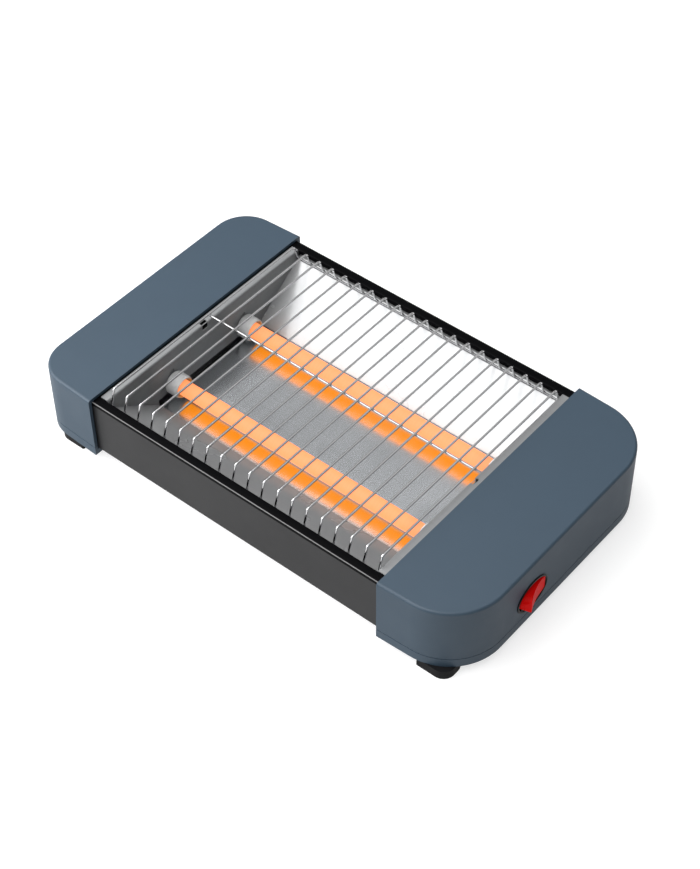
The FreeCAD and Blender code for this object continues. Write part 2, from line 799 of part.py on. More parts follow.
def end_plate(name, end):
    """An upright end of the chamber: flange outwards at the top, two legs with feet, tube holes."""
    inner = centre_x + end * chamber_half_length
    outer = centre_x + end * end_plate_outer
    start = inner if end > 0 else outer
    half = panel_half_depth - size.rim_width - size.end_plate_clearance
    low_edge = base + size.end_plate_low_edge
    corners = [
        (-half, rim_top),
        (-half, low_edge),
        (-size.end_plate_leg_end, low_edge),
        (-size.end_plate_leg_end, bottom_plate_top),
        (-size.end_plate_leg_start, bottom_plate_top),
        (-size.end_plate_leg_start, low_edge),
        (size.end_plate_leg_start, low_edge),
        (size.end_plate_leg_start, bottom_plate_top),
        (size.end_plate_leg_end, bottom_plate_top),
        (size.end_plate_leg_end, low_edge),
        (half, low_edge),
        (half, rim_top),
    ]
    body = plate(name, "YZ_Plane", start, size.sheet, corners)
    flange_end = centre_x + end * (chamber_half_length + size.end_plate_flange)
    flange_low = inner if end > 0 else flange_end
    flange_corners = ((flange_low, -half), (flange_low + size.end_plate_flange, half))
    flange = rectangle(body, "XY_Plane", rim_top - size.sheet, *flange_corners)
    pad(body, "XY_Plane", flange, size.sheet)
    rounded(
        body, size.end_plate_bend_radius,
        lambda edge: runs_along(edge, 1) and stands_at(edge, 0, inner) and stands_at(edge, 2, rim_top),
    )
    flange_under = rim_top - size.sheet
    rounded(
        body, size.end_plate_bend_radius - size.sheet,
        lambda edge: runs_along(edge, 1) and stands_at(edge, 0, outer) and stands_at(edge, 2, flange_under),
    )
    foot_end = centre_x + end * (end_plate_outer + size.end_plate_foot)
    for side in (-1, 1):
        near = side * (size.end_plate_leg_start if side > 0 else size.end_plate_leg_end)
        far = side * (size.end_plate_leg_end if side > 0 else size.end_plate_leg_start)
        low_x = inner if end > 0 else foot_end
        low = (low_x, near)
        high = (low_x + size.end_plate_foot + size.sheet, far)
        foot = rectangle(body, "XY_Plane", bottom_plate_top, low, high)
        pad(body, "XY_Plane", foot, size.sheet)
    bore = size.screw_radius + size.screw_clearance
    rounds = [(x, y, bore) for x, y in leg_screw_places(end)]
    pocket(body, "XY_Plane", circles(body, "XY_Plane", bottom_plate_top, rounds), size.sheet)
    hole = size.ceramic_neck_radius + size.ceramic_hole_clearance
    rounds = [(side * size.tube_half_spacing, tube_axis, hole) for side in (-1, 1)]
    pocket(body, "YZ_Plane", circles(body, "YZ_Plane", start, rounds), size.sheet)
    for side in (-1, 1):
        low_y = side * size.tube_half_spacing - size.clip_notch_width / 2
        high_y = side * size.tube_half_spacing + size.clip_notch_width / 2
        ear_low = tube_axis + size.ceramic_radius
        upper = rectangle(
            body, "YZ_Plane", start, (low_y, ear_low), (high_y, ear_low + size.clip_notch_height)
        )
        pocket(body, "YZ_Plane", upper, size.sheet)
        foot_edge = tube_axis - size.tube_radius
        lower = rectangle(body, "YZ_Plane", start, (low_y, low_edge), (high_y, foot_edge))
        pocket(body, "YZ_Plane", lower, size.sheet)
    notch_low = size.end_plate_notch_offset - size.end_plate_notch_width / 2
    notch_high = size.end_plate_notch_offset + size.end_plate_notch_width / 2
    notch_bottom = rim_top - size.end_plate_notch_depth
    notch = rectangle(body, "YZ_Plane", start, (notch_low, notch_bottom), (notch_high, rim_top))
    pocket(body, "YZ_Plane", notch, size.sheet)
    notch_x = centre_x + end * (chamber_half_length + size.end_plate_notch_length)
    low_x = inner if end > 0 else notch_x
    high_x = notch_x if end > 0 else inner
    notch = rectangle(body, "XY_Plane", rim_top - size.sheet, (low_x, notch_low), (high_x, notch_high))
    pocket(body, "XY_Plane", notch, size.sheet)
    return body


def reflector(name, side):
    """A bright sheet that slopes up from the crumb tray to a lip fixed inside the panel."""
    lip_y = -reflector_lip_half_depth
    panel_y = -(panel_half_depth - size.sheet)
    foot_y = -size.floor_half_width
    under = size.reflector_sheet * slope_length
    shoulder = size.reflector_sheet * (slope_length - 1) / reflector_slope
    profile = [
        (panel_y, reflector_lip - size.reflector_sheet),
        (panel_y, reflector_lip),
        (lip_y, reflector_lip),
        (foot_y, reflector_foot),
        (foot_y, reflector_foot - under),
        (lip_y + shoulder, reflector_lip - size.reflector_sheet),
    ]
    start = centre_x - chamber_half_length + size.reflector_end_gap
    length = (chamber_half_length - size.reflector_end_gap) * 2
    return plate(name, "YZ_Plane", start, length, mirrored_profile(side, profile))


tray_half_length = chamber_half_length - size.tray_side_clearance
tray_front = -(size.floor_half_width + size.tray_front_overlap)
tray_back = panel_half_depth + size.tray_pull_gap
tray_under = floor_top - size.tray_sheet


def crumb_tray(name):
    """The chamber's flat floor, with a tongue at the back that its pull is fixed to."""
    body = new_body(name)
    low = (centre_x - tray_half_length, tray_front)
    back_edge = panel_half_depth - size.tray_back_gap
    high = (centre_x + tray_half_length, back_edge)
    pad(body, "XY_Plane", rectangle(body, "XY_Plane", tray_under, low, high), size.tray_sheet)
    tongue_half = size.tray_pull_half_length - size.tray_tongue_inset
    low = (centre_x - tongue_half, back_edge - size.overrun)
    high = (centre_x + tongue_half, tray_back)
    pad(body, "XY_Plane", rectangle(body, "XY_Plane", tray_under, low, high), size.tray_sheet)
    return body


def tray_pull(name):
    """The moulded finger pull on the tray's back edge."""
    low_z = floor_top - size.tray_pull_height / 2
    body = plate(
        name, "XY_Plane", low_z, size.tray_pull_height,
        [
            (centre_x - size.tray_pull_half_length, tray_back),
            (centre_x + size.tray_pull_half_length, tray_back),
            (centre_x + size.tray_pull_half_length, tray_back + size.tray_pull_thickness),
            (centre_x - size.tray_pull_half_length, tray_back + size.tray_pull_thickness),
        ],
    )
    outer = tray_back + size.tray_pull_thickness
    rounded(body, size.tray_pull_edge_radius, lambda edge: stands_at(edge, 1, outer))
    return body


def back_panel_slot():
    """The opening in the back panel that the tray slides through."""
    margin = size.tray_slot_clearance
    half = tray_half_length + margin
    return box(
        "tray_slot",
        (centre_x - half, panel_half_depth - size.sheet - size.overrun, tray_under - margin),
        (centre_x + half, panel_half_depth + size.overrun, floor_top + margin),
    )


def tray_runner(name, end):
    low_x = centre_x + end * (chamber_half_length - size.runner_end_inset) - size.runner_width / 2
    low = (low_x, tray_front, bottom_plate_top)
    back = panel_half_depth - size.panel_return - size.runner_back_gap
    high = (low_x + size.runner_width, back, tray_under - size.runner_clearance)
    return box(name, low, high)


# Wire rack

def cross_wires(name):
    """Bent wires side by side: each stands on the two long rods and spans the chamber."""
    body = new_body(name)
    path = new_sketch(body, "YZ_Plane", first_wire)
    half = wire_span / 2
    numbers = SimpleNamespace(
        foot=leg_half_depth.number, corner=half.number, low=leg_end.number, top=wire_axis.number,
        front=size.wire_front_bend.number, back=size.wire_back_bend.number,
    )
    lean = math.radians(size.wire_splay.number)
    half_turn = (math.pi / 2 - lean) / 2

    def bend(sign, radius):
        """Start, end and centre of a bend between a leg and the top."""
        reach = radius * math.tan(half_turn)
        on_leg = FreeCAD.Vector(
            sign * (numbers.corner + reach * math.sin(lean)), numbers.top - reach * math.cos(lean), 0
        )
        on_top = FreeCAD.Vector(sign * (numbers.corner - reach), numbers.top, 0)
        centre = FreeCAD.Vector(on_top.x, numbers.top - radius, 0)
        return on_leg, on_top, centre

    leg_f, top_f, centre_f = bend(-1, numbers.front)
    leg_b, top_b, centre_b = bend(1, numbers.back)
    foot_f = FreeCAD.Vector(-numbers.foot, numbers.low, 0)
    foot_b = FreeCAD.Vector(numbers.foot, numbers.low, 0)
    up = FreeCAD.Vector(0, 0, 1)
    path.addGeometry(Part.LineSegment(foot_f, leg_f), False)
    front_start = math.pi / 2
    front_end = math.pi - lean
    front_circle = Part.Circle(centre_f, up, numbers.front)
    path.addGeometry(Part.ArcOfCircle(front_circle, front_start, front_end), False)
    path.addGeometry(Part.LineSegment(top_f, top_b), False)
    path.addGeometry(Part.ArcOfCircle(Part.Circle(centre_b, up, numbers.back), lean, math.pi / 2), False)
    path.addGeometry(Part.LineSegment(leg_b, foot_b), False)
    path.addConstraint(Sketcher.Constraint("Tangent", 0, 2, 1, 2))
    path.addConstraint(Sketcher.Constraint("Tangent", 2, 1, 1, 1))
    path.addConstraint(Sketcher.Constraint("Tangent", 2, 2, 3, 2))
    path.addConstraint(Sketcher.Constraint("Tangent", 4, 1, 3, 1))
    path.addConstraint(Sketcher.Constraint("Horizontal", 2))
    tie_radius(path, 1, size.wire_front_bend)
    tie_radius(path, 3, size.wire_back_bend)
    tie(path, "DistanceX", 0, 1, -leg_half_depth)
    tie(path, "DistanceY", 0, 1, leg_end)
    tie(path, "DistanceY", 2, 1, wire_axis)
    tie(path, "DistanceX", 4, 2, leg_half_depth)
    tie(path, "DistanceY", 4, 2, leg_end)
    for line, turn in ((0, 90 - size.wire_splay), (4, size.wire_splay - 90)):
        index = path.addConstraint(Sketcher.Constraint("Angle", line, math.radians(turn.number)))
        path.setExpression(f"Constraints[{index}]", f"{turn.text} * 1 deg")
    document.recompute()
    section = body.newObject("Sketcher::SketchObject", "section")
    section.AttachmentSupport = [(path, "Edge1")]
    section.MapMode = "NormalToEdge"
    section.addGeometry(Part.Circle(FreeCAD.Vector(), up, size.wire_radius.number), False)
    section.addConstraint(Sketcher.Constraint("Coincident", 0, 3, -1, 1))
    tie_radius(section, 0, size.wire_radius)
    document.recompute()
    wire = body.newObject("PartDesign::AdditivePipe", "wire")
    wire.Profile = section
    wire.Spine = (path, [])
    document.recompute()
    row = body.newObject("PartDesign::LinearPattern", "row")
    row.Originals = [wire]
    row.Direction = (plane(body, "X_Axis"), [""])
    bind(row, "Length", wire_pitch * (size.wire_count - 1))
    row.Occurrences = int(size.wire_count.number)
    body.Tip = row
    return body


def rack_rod(name, y, z, radius):
    """A straight rod from the first cross wire to the last."""
    start = (first_wire - size.wire_radius, y, z)
    return cylinder(name, "x", start, last_wire - first_wire + size.wire_radius * 2, radius)


# Heater tubes, their coils, ceramic ends, clips and terminals

tube_end = chamber_half_length + size.sheet + size.tube_seat_depth


def quartz_tube(name, side):
    start = (centre_x - tube_end, side * size.tube_half_spacing, tube_axis)
    outer = cylinder(f"{name}_outer", "x", start, tube_end * 2, size.tube_radius)
    bore = cylinder(f"{name}_bore", "x", start, tube_end * 2, size.tube_radius - size.tube_wall)
    return cut(f"{name}_hollow", outer, bore)


def heating_coil(name, side):
    """The wound heater in its tube, as its outer form, with a stiff pin at each end."""
    y = side * size.tube_half_spacing
    half = tube_end - size.coil_end_inset
    pin_half = end_plate_outer + size.ceramic_tail + size.terminal_sleeve_length
    core = cylinder(f"{name}_core", "x", (centre_x - half, y, tube_axis), half * 2, size.coil_radius)
    pin_start = (centre_x - pin_half, y, tube_axis)
    pin = cylinder(f"{name}_pin", "x", pin_start, pin_half * 2, size.coil_pin_radius)
    return fused(f"{name}_whole", core, pin)


def ceramic_end(name, end, side):
    """A glazed barrel that holds a tube's end in the chamber's end plate."""
    def at(distance):
        """X at a distance outwards from the plate's inner face."""
        return centre_x + end * (chamber_half_length + distance)

    inner_face = -(size.ceramic_reach + size.ceramic_face_gap)
    recess = inner_face + size.ceramic_recess_depth
    tube_bore = size.tube_radius + size.tube_seat_clearance
    pin_bore = size.coil_pin_radius + size.coil_pin_clearance
    seat = tube_end - chamber_half_length + size.tube_seat_clearance
    tail = size.sheet + size.ceramic_tail
    edge = size.ceramic_edge_radius
    profile = [
        (at(recess), tube_bore),
        (at(recess), size.ceramic_radius - size.ceramic_recess_rim),
        (at(inner_face), size.ceramic_radius - size.ceramic_recess_rim),
        (at(inner_face), size.ceramic_radius - edge / 2),
        (at(inner_face + edge), size.ceramic_radius),
        (at(-size.ceramic_face_gap - edge / 2), size.ceramic_radius),
        (at(-size.ceramic_face_gap), size.ceramic_radius - edge / 2),
        (at(-size.ceramic_face_gap), size.ceramic_neck_radius),
        (at(tail), size.ceramic_neck_radius),
        (at(tail), pin_bore),
        (at(seat), pin_bore),
        (at(seat), tube_bore),
    ]
    return turned(name, side * size.tube_half_spacing, tube_axis, profile)


def retaining_clip(name, end, side):
    """A spring ring behind the plate, with an ear above that hooks into the plate's notch."""
    face = end_plate_outer + size.clip_gap
    low_x = centre_x + end * face if end > 0 else centre_x - face - size.clip_thickness
    y = side * size.tube_half_spacing
    start = (low_x, y, tube_axis)
    ring_radius = size.ceramic_neck_radius + size.clip_ring
    ring = cylinder(f"{name}_ring", "x", start, size.clip_thickness, ring_radius)
    half = size.clip_ear_width / 2
    ear = box(
        f"{name}_ear",
        (low_x, y - half, tube_axis + size.ceramic_neck_radius + size.clip_ring / 2),
        (low_x + size.clip_thickness, y + half, tube_axis + size.ceramic_radius + size.clip_ear_reach),
    )
    bore_radius = size.ceramic_neck_radius + size.clip_clearance
    bore = cylinder(f"{name}_bore", "x", start, size.clip_thickness, bore_radius)
    return cut(name, fused(f"{name}_solid", ring, ear), bore)


def terminal(name, end, side):
    """A sleeve on a coil's pin with an upright push-on blade."""
    y = side * size.tube_half_spacing
    near = end_plate_outer + size.ceramic_tail + size.coil_pin_clearance
    length = size.terminal_sleeve_length
    low_x = centre_x + end * near if end > 0 else centre_x - near - length
    sleeve = cylinder(f"{name}_sleeve", "x", (low_x, y, tube_axis), length, size.terminal_sleeve_radius)
    half = size.terminal_blade_width / 2
    middle = low_x + length / 2
    blade_root = tube_axis + size.terminal_sleeve_radius
    blade = box(
        f"{name}_blade",
        (middle - half, y - size.sheet / 2, blade_root - size.sheet / 2),
        (middle + half, y + size.sheet / 2, blade_root + size.terminal_blade_length),
    )
    bore_radius = size.coil_pin_radius + size.terminal_clearance
    bore = cylinder(f"{name}_bore", "x", (low_x, y, tube_axis), length, bore_radius)
    return cut(name, fused(f"{name}_solid", sleeve, blade), bore)


# Rocker switch in the right cap's end

def long_round(name, start, length, half_length, half_height, radius):
    """A block across the cap's end with rounded corners, its long way along Y."""
    y = size.switch_centre
    corners = [(y - half_length, switch_z - half_height), (y + half_length, switch_z + half_height)]
    body = new_body(name)
    pad(body, "YZ_Plane", rectangle(body, "YZ_Plane", start, *corners), length)
    rounded(body, radius, lambda edge: runs_along(edge, 0))
    return body


def oval(name, start, length, half_length, half_height):
    """An oval block across the cap's end, its long way along Y."""
    body = new_body(name)
    sketch = new_sketch(body, "YZ_Plane", start)
    centre = FreeCAD.Vector(size.switch_centre.number, switch_z.number, 0)
    sketch.addGeometry(Part.Ellipse(centre, half_length.number, half_height.number), False)
    sketch.exposeInternalGeometry(0)
    tie(sketch, "DistanceX", 0, 3, size.switch_centre)
    tie(sketch, "DistanceY", 0, 3, switch_z)
    sketch.addConstraint(Sketcher.Constraint("Horizontal", 1))
    for axis, half in ((1, half_length), (2, half_height)):
        index = sketch.addConstraint(Sketcher.Constraint("Distance", axis, (half * 2).number))
        sketch.setExpression(f"Constraints[{index}]", (half * 2).text)
    pad(body, "YZ_Plane", sketch, length)
    return body


def switch_opening():
    """The oval hole in the cap's end that the switch is pushed into."""
    inset = size.plug_inset - size.housing_fit
    return oval(
        "switch_opening", right_end - size.cap_wall - size.overrun, size.cap_wall + size.overrun * 2,
        size.bezel_half_length - inset, size.bezel_half_height - inset,
    )


def finger_dish(name):
    """The hollow that the bezel's face sinks to around the rocker."""
    made = document.addObject("Part::Ellipsoid", name)
    bind(made, "Radius1", size.bezel_half_height - size.dish_inset)
    bind(made, "Radius2", size.dish_depth)
    bind(made, "Radius3", size.bezel_half_length - size.dish_inset)
    bind(made, "Placement.Base.x", right_end + size.bezel_thickness)
    bind(made, "Placement.Base.y", size.switch_centre)
    bind(made, "Placement.Base.z", switch_z)
    return made


def switch_housing(name):
    """Oval bezel, the plug behind it, and the barrel with the rocker's cavity."""
    front = right_end + size.bezel_thickness
    bezel = oval(
        f"{name}_bezel", right_end, size.bezel_thickness, size.bezel_half_length, size.bezel_half_height
    )
    rounded(bezel, size.bezel_edge_radius, lambda edge: stands_at(edge, 0, front))
    plug = oval(
        f"{name}_plug", right_end - size.plug_depth, size.plug_depth,
        size.bezel_half_length - size.plug_inset, size.bezel_half_height - size.plug_inset,
    )
    barrel = long_round(
        f"{name}_barrel", right_end - size.housing_depth, size.housing_depth,
        barrel_half_length, barrel_half_height, size.barrel_corner_radius,
    )
    cavity = long_round(
        f"{name}_cavity", pivot_x - rocker_round, rocker_round * 2,
        cavity_half_length, cavity_half_height, size.cavity_corner_radius,
    )
    pivot_half = size.rocker_half_height + size.pivot_stub + size.pivot_end_gap
    pivot = cylinder(
        f"{name}_pivot_hole", "z",
        (pivot_x, size.switch_centre, switch_z - pivot_half),
        pivot_half * 2,
        size.pivot_radius + size.pivot_clearance,
    )
    solid = fused(f"{name}_solid", bezel, plug, barrel)
    hollow = cut(f"{name}_hollow", cut(f"{name}_open", solid, cavity), pivot)
    return cut(f"{name}_dished", hollow, finger_dish(f"{name}_dish"))


def switch_rocker(name):
    """The rocker, made level about its pivot and then tipped so that its front end stands out."""
    half = size.rocker_half_height
    disc = cylinder(f"{name}_disc", "z", (0, 0, -half), half * 2, rocker_round)
    block = box(
        f"{name}_block", (-size.rocker_back, -rocker_round, -half), (size.rocker_crown, rocker_round, half)
    )
    chord = size.rocker_half_length
    dish_radius = (chord * chord + size.rocker_dish * size.rocker_dish) / (2 * size.rocker_dish)
    dish_x = size.rocker_crown - size.rocker_dish + dish_radius
    dish = cylinder(f"{name}_dish", "z", (dish_x, 0, -half), half * 2, dish_radius)
    face = new_body(f"{name}_face")
    corners = [(-rocker_round, -half), (rocker_round, half)]
    face_outline = rectangle(face, "YZ_Plane", -rocker_round, *corners)
    pad(face, "YZ_Plane", face_outline, rocker_round * 2)
    rounded(face, size.rocker_end_radius, lambda edge: runs_along(edge, 0))
    trimmed = shared(f"{name}_trimmed", shared(f"{name}_slab", disc, block), face)
    stub_half = half + size.pivot_stub
    stub = cylinder(f"{name}_stub", "z", (0, 0, -stub_half), stub_half * 2, size.pivot_radius)
    whole = fused(f"{name}_whole", cut(f"{name}_dished", trimmed, dish), stub)
    whole.Placement = FreeCAD.Placement(FreeCAD.Vector(), FreeCAD.Rotation(size.rocker_tilt.number, 0, 0))
    bind(whole, "Placement.Base.x", pivot_x)
    bind(whole, "Placement.Base.y", size.switch_centre)
    bind(whole, "Placement.Base.z", switch_z)
    bind(whole, "Placement.Rotation.Angle", size.rocker_tilt)
    return whole


def switch_blades(name):
    """Three flat contacts out of the switch's back."""
    back = right_end - size.housing_depth
    blades = []
    for index in (-1, 0, 1):
        y = size.switch_centre + index * size.switch_blade_spacing
        half_z = size.terminal_blade_width / 2
        low = (back - size.switch_blade_length, y - size.sheet / 2, switch_z - half_z)
        high = (back, y + size.sheet / 2, switch_z + half_z)
        blades.append(box(f"{name}_{index + 2}", low, high))
    return grouped(f"{name}_group", blades)


# Cord gland, terminal block, thermal fuse and wires in the caps

gland_x = right_mouth + size.gland_distance
gland_z = base + size.gland_height
gland_wall_y = size.cap_half_width - size.cap_side_taper * size.gland_distance / size.right_cap_length


def gland_opening():
    start = (gland_x, gland_wall_y - size.cap_wall - size.overrun, gland_z)
    length = size.cap_wall + size.overrun * 2
    return cylinder("gland_opening", "y", start, length, size.gland_sleeve_radius + size.gland_fit)


def gland_seat():
    """The flat round recess that the gland's flange lies in."""
    start = (gland_x, gland_wall_y - size.gland_seat, gland_z)
    radius = size.gland_flange_radius + size.gland_fit
    return cylinder("gland_seat", "y", start, size.gland_seat + size.overrun, radius)


def cord_gland(name):
    """The empty bush in the back wall that a cord would pass through."""
    face = gland_wall_y + size.gland_flange
    start = (gland_x, face - size.gland_length, gland_z)
    sleeve = cylinder(f"{name}_sleeve", "y", start, size.gland_length, size.gland_sleeve_radius)
    flange_y = gland_wall_y - size.gland_seat + size.gland_fit / 2
    flange_start = (gland_x, flange_y, gland_z)
    flange = cylinder(f"{name}_flange", "y", flange_start, face - flange_y, size.gland_flange_radius)
    inner_y = gland_wall_y - size.cap_wall - size.gland_inner_gap - size.gland_inner_flange
    inner_start = (gland_x, inner_y, gland_z)
    inner = cylinder(f"{name}_inner", "y", inner_start, size.gland_inner_flange, size.gland_flange_radius)
    bore = cylinder(f"{name}_bore", "y", start, size.gland_length, size.gland_bore_radius)
    return cut(f"{name}_bored", fused(f"{name}_solid", sleeve, flange, inner), bore)


block_low_x = right_mouth + size.block_distance


def terminal_block(name):
    """A moulded block with three wire ways, on the floor of the right base cover."""
    low_z = base + size.cap_wall
    low_y = size.block_centre - size.block_length / 2
    solid = box(
        f"{name}_solid",
        (block_low_x, low_y, low_z),
        (block_low_x + size.block_width, low_y + size.block_length, low_z + size.block_height),
    )
    ways = []
    for index in (-1, 0, 1):
        y = size.block_centre + index * size.block_way_pitch
        start = (block_low_x, y, low_z + size.block_height / 2)
        radius = size.block_way_radius
        ways.append(cylinder(f"{name}_way_{index + 2}", "x", start, size.block_width, radius))
        top = (block_low_x + size.block_width / 2, y, low_z + size.block_height / 2)
        ways.append(cylinder(f"{name}_screw_way_{index + 2}", "z", top, size.block_height, radius))
    return cut(f"{name}_drilled", solid, *ways)


bulkhead_back = size.bay_length / 2 + size.bulkhead_inset + size.bulkhead_thickness
fuse_x = centre_x + bulkhead_back + size.fuse_radius + size.fuse_clip_wall
fuse_z = base + size.fuse_height
fuse_reach = size.fuse_length / 2 + size.fuse_lead_length


def thermal_fuse(name):
    start = (fuse_x, -size.fuse_length / 2, fuse_z)
    case = cylinder(f"{name}_case", "y", start, size.fuse_length, size.fuse_radius)
    lead_start = (fuse_x, -fuse_reach, fuse_z)
    leads = cylinder(f"{name}_leads", "y", lead_start, fuse_reach * 2, size.fuse_lead_radius)
    return fused(f"{name}_whole", case, leads)


def fuse_clip(name):
    """A saddle that holds the fuse against the right bulkhead."""
    wall = size.fuse_clip_wall
    half = size.fuse_clip_width / 2
    inner = size.fuse_radius + size.lead_gap / 2
    low = (centre_x + bulkhead_back, -half, fuse_z - inner - wall - size.fuse_clip_foot)
    high = (fuse_x + inner + wall, half, fuse_z + inner + wall)
    solid = box(f"{name}_solid", low, high)
    bore = cylinder(f"{name}_bore", "y", (fuse_x, -half, fuse_z), half * 2, inner)
    spare_low = (fuse_x - size.fuse_radius, -half, low[2])
    spare_high = (high[0], half, fuse_z - inner - wall)
    return cut(f"{name}_bent", solid, bore, box(f"{name}_spare", spare_low, spare_high))


def lead(points):
    """An insulated wire: straight runs joined by tangent arcs."""
    radius = size.lead_bend.number
    corners = [FreeCAD.Vector(*(sized(value).number for value in point)) for point in points]
    edges = []
    start = corners[0]
    for before, corner, after in zip(corners, corners[1:], corners[2:]):
        into = (corner - before).normalize()
        out = (after - corner).normalize()
        half_turn = into.getAngle(out) / 2
        reach = radius * math.tan(half_turn)
        first = corner - into * reach
        last = corner + out * reach
        inwards = (out - into).normalize()
        middle = corner + inwards * (radius / math.cos(half_turn) - radius)
        edges.append(Part.LineSegment(start, first).toShape())
        edges.append(Part.Arc(first, middle, last).toShape())
        start = last
    edges.append(Part.LineSegment(start, corners[-1]).toShape())
    spine = Part.Wire(edges)
    heading = corners[1] - corners[0]
    section = Part.Wire(Part.Circle(corners[0], heading, size.lead_radius.number).toShape())
    tube = spine.makePipeShell([section], True, False)
    return tube if tube.Volume > 0 else tube.reversed()


def internal_leads(name):
    """Mains leads in the right cap and the link between the two tubes in the left cap."""
    gap = size.lead_gap
    blade_out = size.terminal_sleeve_radius + size.terminal_blade_length + gap
    reach = end_plate_outer + size.ceramic_tail + size.coil_pin_clearance + size.terminal_sleeve_length / 2
    left_x = centre_x - reach
    right_x = centre_x + reach
    blade_top = tube_axis + blade_out
    high = blade_top + size.lead_bend * 1.6
    spread = size.tube_half_spacing
    way_z = base + size.cap_wall + size.block_height / 2
    block_back = block_low_x + size.block_width + gap
    low_y = size.block_centre - size.block_length / 2
    front_way = size.block_centre - size.block_way_pitch
    switch_back = right_end - size.housing_depth - size.switch_blade_length - gap
    front_blade = size.switch_centre - size.switch_blade_spacing
    middle_blade = size.switch_centre
    drop_x = switch_back - size.lead_bend * 1.5
    turn_x = block_back + size.lead_bend * 2.5
    routes = [
        [
            (left_x, -spread, blade_top), (left_x, -spread, high),
            (left_x, spread, high), (left_x, spread, blade_top),
        ],
        [
            (right_x, -spread, blade_top), (right_x, -spread, fuse_z),
            (fuse_x, -spread + size.lead_bend * 2, fuse_z),
            (fuse_x, -fuse_reach - gap, fuse_z),
        ],
        [
            (fuse_x, fuse_reach + gap, fuse_z), (fuse_x, fuse_reach + size.lead_bend * 3, fuse_z),
            (switch_back - size.lead_bend * 2, fuse_reach + size.lead_bend * 3, fuse_z),
            (switch_back - size.lead_bend * 2, middle_blade, fuse_z),
            (switch_back - size.lead_bend * 2, middle_blade, switch_z),
            (switch_back, middle_blade, switch_z),
        ],
        [
            (switch_back, front_blade, switch_z), (drop_x, front_blade, switch_z),
            (drop_x, front_blade, way_z), (drop_x, low_y - size.lead_bend * 2.5, way_z),
            (turn_x, low_y - size.lead_bend * 2.5, way_z), (turn_x, front_way, way_z),
            (block_back, front_way, way_z),
        ],
        [
            (right_x, spread, blade_top), (right_x, spread, high),
            (block_back + size.lead_bend * 1.2, spread, high),
            (block_back + size.lead_bend * 1.2, size.block_centre, high),
            (block_back + size.lead_bend * 1.2, size.block_centre, way_z),
            (block_back, size.block_centre, way_z),
        ],
    ]
    made = document.addObject("Part::Feature", name)
    made.Shape = Part.makeCompound([lead(route) for route in routes])
    return made


# Feet and fasteners

def foot(name, cap, side):
    """A rubber foot with rounded corners, held by a peg through the base cover's floor."""
    inner_x = cap.end - cap.side * (cap.foot_inset + size.foot_length)
    outer_x = cap.end - cap.side * cap.foot_inset
    low_x, high_x = (inner_x, outer_x) if cap.side > 0 else (outer_x, inner_x)
    far = size.cap_half_width - size.foot_side_inset
    near = far - size.foot_width
    low_y, high_y = (near, far) if side > 0 else (-far, -near)
    body = new_body(name)
    pad(body, "XY_Plane", rectangle(body, "XY_Plane", 0, (low_x, low_y), (high_x, high_y)), base)
    rounded(
        body, size.foot_corner_radius,
        lambda edge: runs_along(edge, 2) and stands_at(edge, 0, outer_x),
    )
    rounded(
        body, size.foot_inner_radius,
        lambda edge: runs_along(edge, 2) and stands_at(edge, 0, inner_x),
    )
    middle_x = (low_x + high_x) / 2
    middle_y = (low_y + high_y) / 2
    peg = circles(body, "XY_Plane", base, [(middle_x, middle_y, size.foot_peg_radius)])
    pad(body, "XY_Plane", peg, size.cap_wall)
    return body


def screw(name, x, y, seat, length, up):
    """A pan-head screw along Z. Its head lies below the seat when up is 1, above it when -1."""
    head_low = seat - size.screw_head_height if up > 0 else seat
    shank_low = seat if up > 0 else seat - length
    head = cylinder(f"{name}_head", "z", (x, y, head_low), size.screw_head_height, size.screw_head_radius)
    shank = cylinder(f"{name}_shank", "z", (x, y, shank_low), length, size.screw_radius)
    return fused(name, head, shank)


def cap_screws(name):
    seat = base + size.screw_seat_depth
    places = [place for cap in CAPS.values() for place in boss_places(cap)]
    length = parting - seat + size.screw_length - size.thread_end_gap
    made = [screw(f"{name}_{n}", x, y, seat, length, 1) for n, (x, y) in enumerate(places)]
    return grouped(f"{name}_group", made)


def chassis_screws(name):
    places = [place for cap in CAPS.values() for place in chassis_places(cap)]
    length = bottom_plate_top - base - size.thread_floor - size.thread_end_gap
    made = [screw(f"{name}_{n}", x, y, bottom_plate_top, length, -1) for n, (x, y) in enumerate(places)]
    return grouped(f"{name}_group", made)


def panel_screws(name):
    length = size.short_screw_length
    made = [
        screw(f"{name}_{n}", x, y, bottom_plate_bottom, length, 1)
        for n, (x, y) in enumerate(plate_screw_places())
    ]
    return grouped(f"{name}_group", made)


def leg_screws(name):
    places = [place for end in (-1, 1) for place in leg_screw_places(end)]
    seat = bottom_plate_top + size.sheet
    length = size.leg_screw_length
    made = [screw(f"{name}_{n}", x, y, seat, length, -1) for n, (x, y) in enumerate(places)]
    return grouped(f"{name}_group", made)


# The whole toaster

ENDS = {"left": -1, "right": 1}
SIDES = {"front": -1, "back": 1}

keep("left_end_cap", cap_shell("left_cap", CAPS["left"]))
right_shell = cap_shell("right_cap", CAPS["right"])
openings = [switch_opening(), gland_opening(), gland_seat()]
keep("right_end_cap", cut("right_cap_pierced", right_shell, *openings))
for word, cap in CAPS.items():
    keep(f"{word}_base_cover", base_cover(f"{word}_cover", cap))
    keep(f"{word}_bulkhead", bulkhead(f"{word}_wall", cap))
for word, side in SIDES.items():
    keep(f"{word}_rim", rim(f"{word}_strip", side))
keep("front_panel", panel("front_side", -1))
keep("back_panel", cut("back_side_slotted", panel("back_side", 1), back_panel_slot()))
keep("bottom_plate", bottom_plate("underside"))
for word, end in ENDS.items():
    keep(f"{word}_end_plate", end_plate(f"{word}_upright", end))
for word, side in SIDES.items():
    keep(f"{word}_reflector", reflector(f"{word}_mirror", side))
keep("crumb_tray", crumb_tray("tray_sheet_body"))
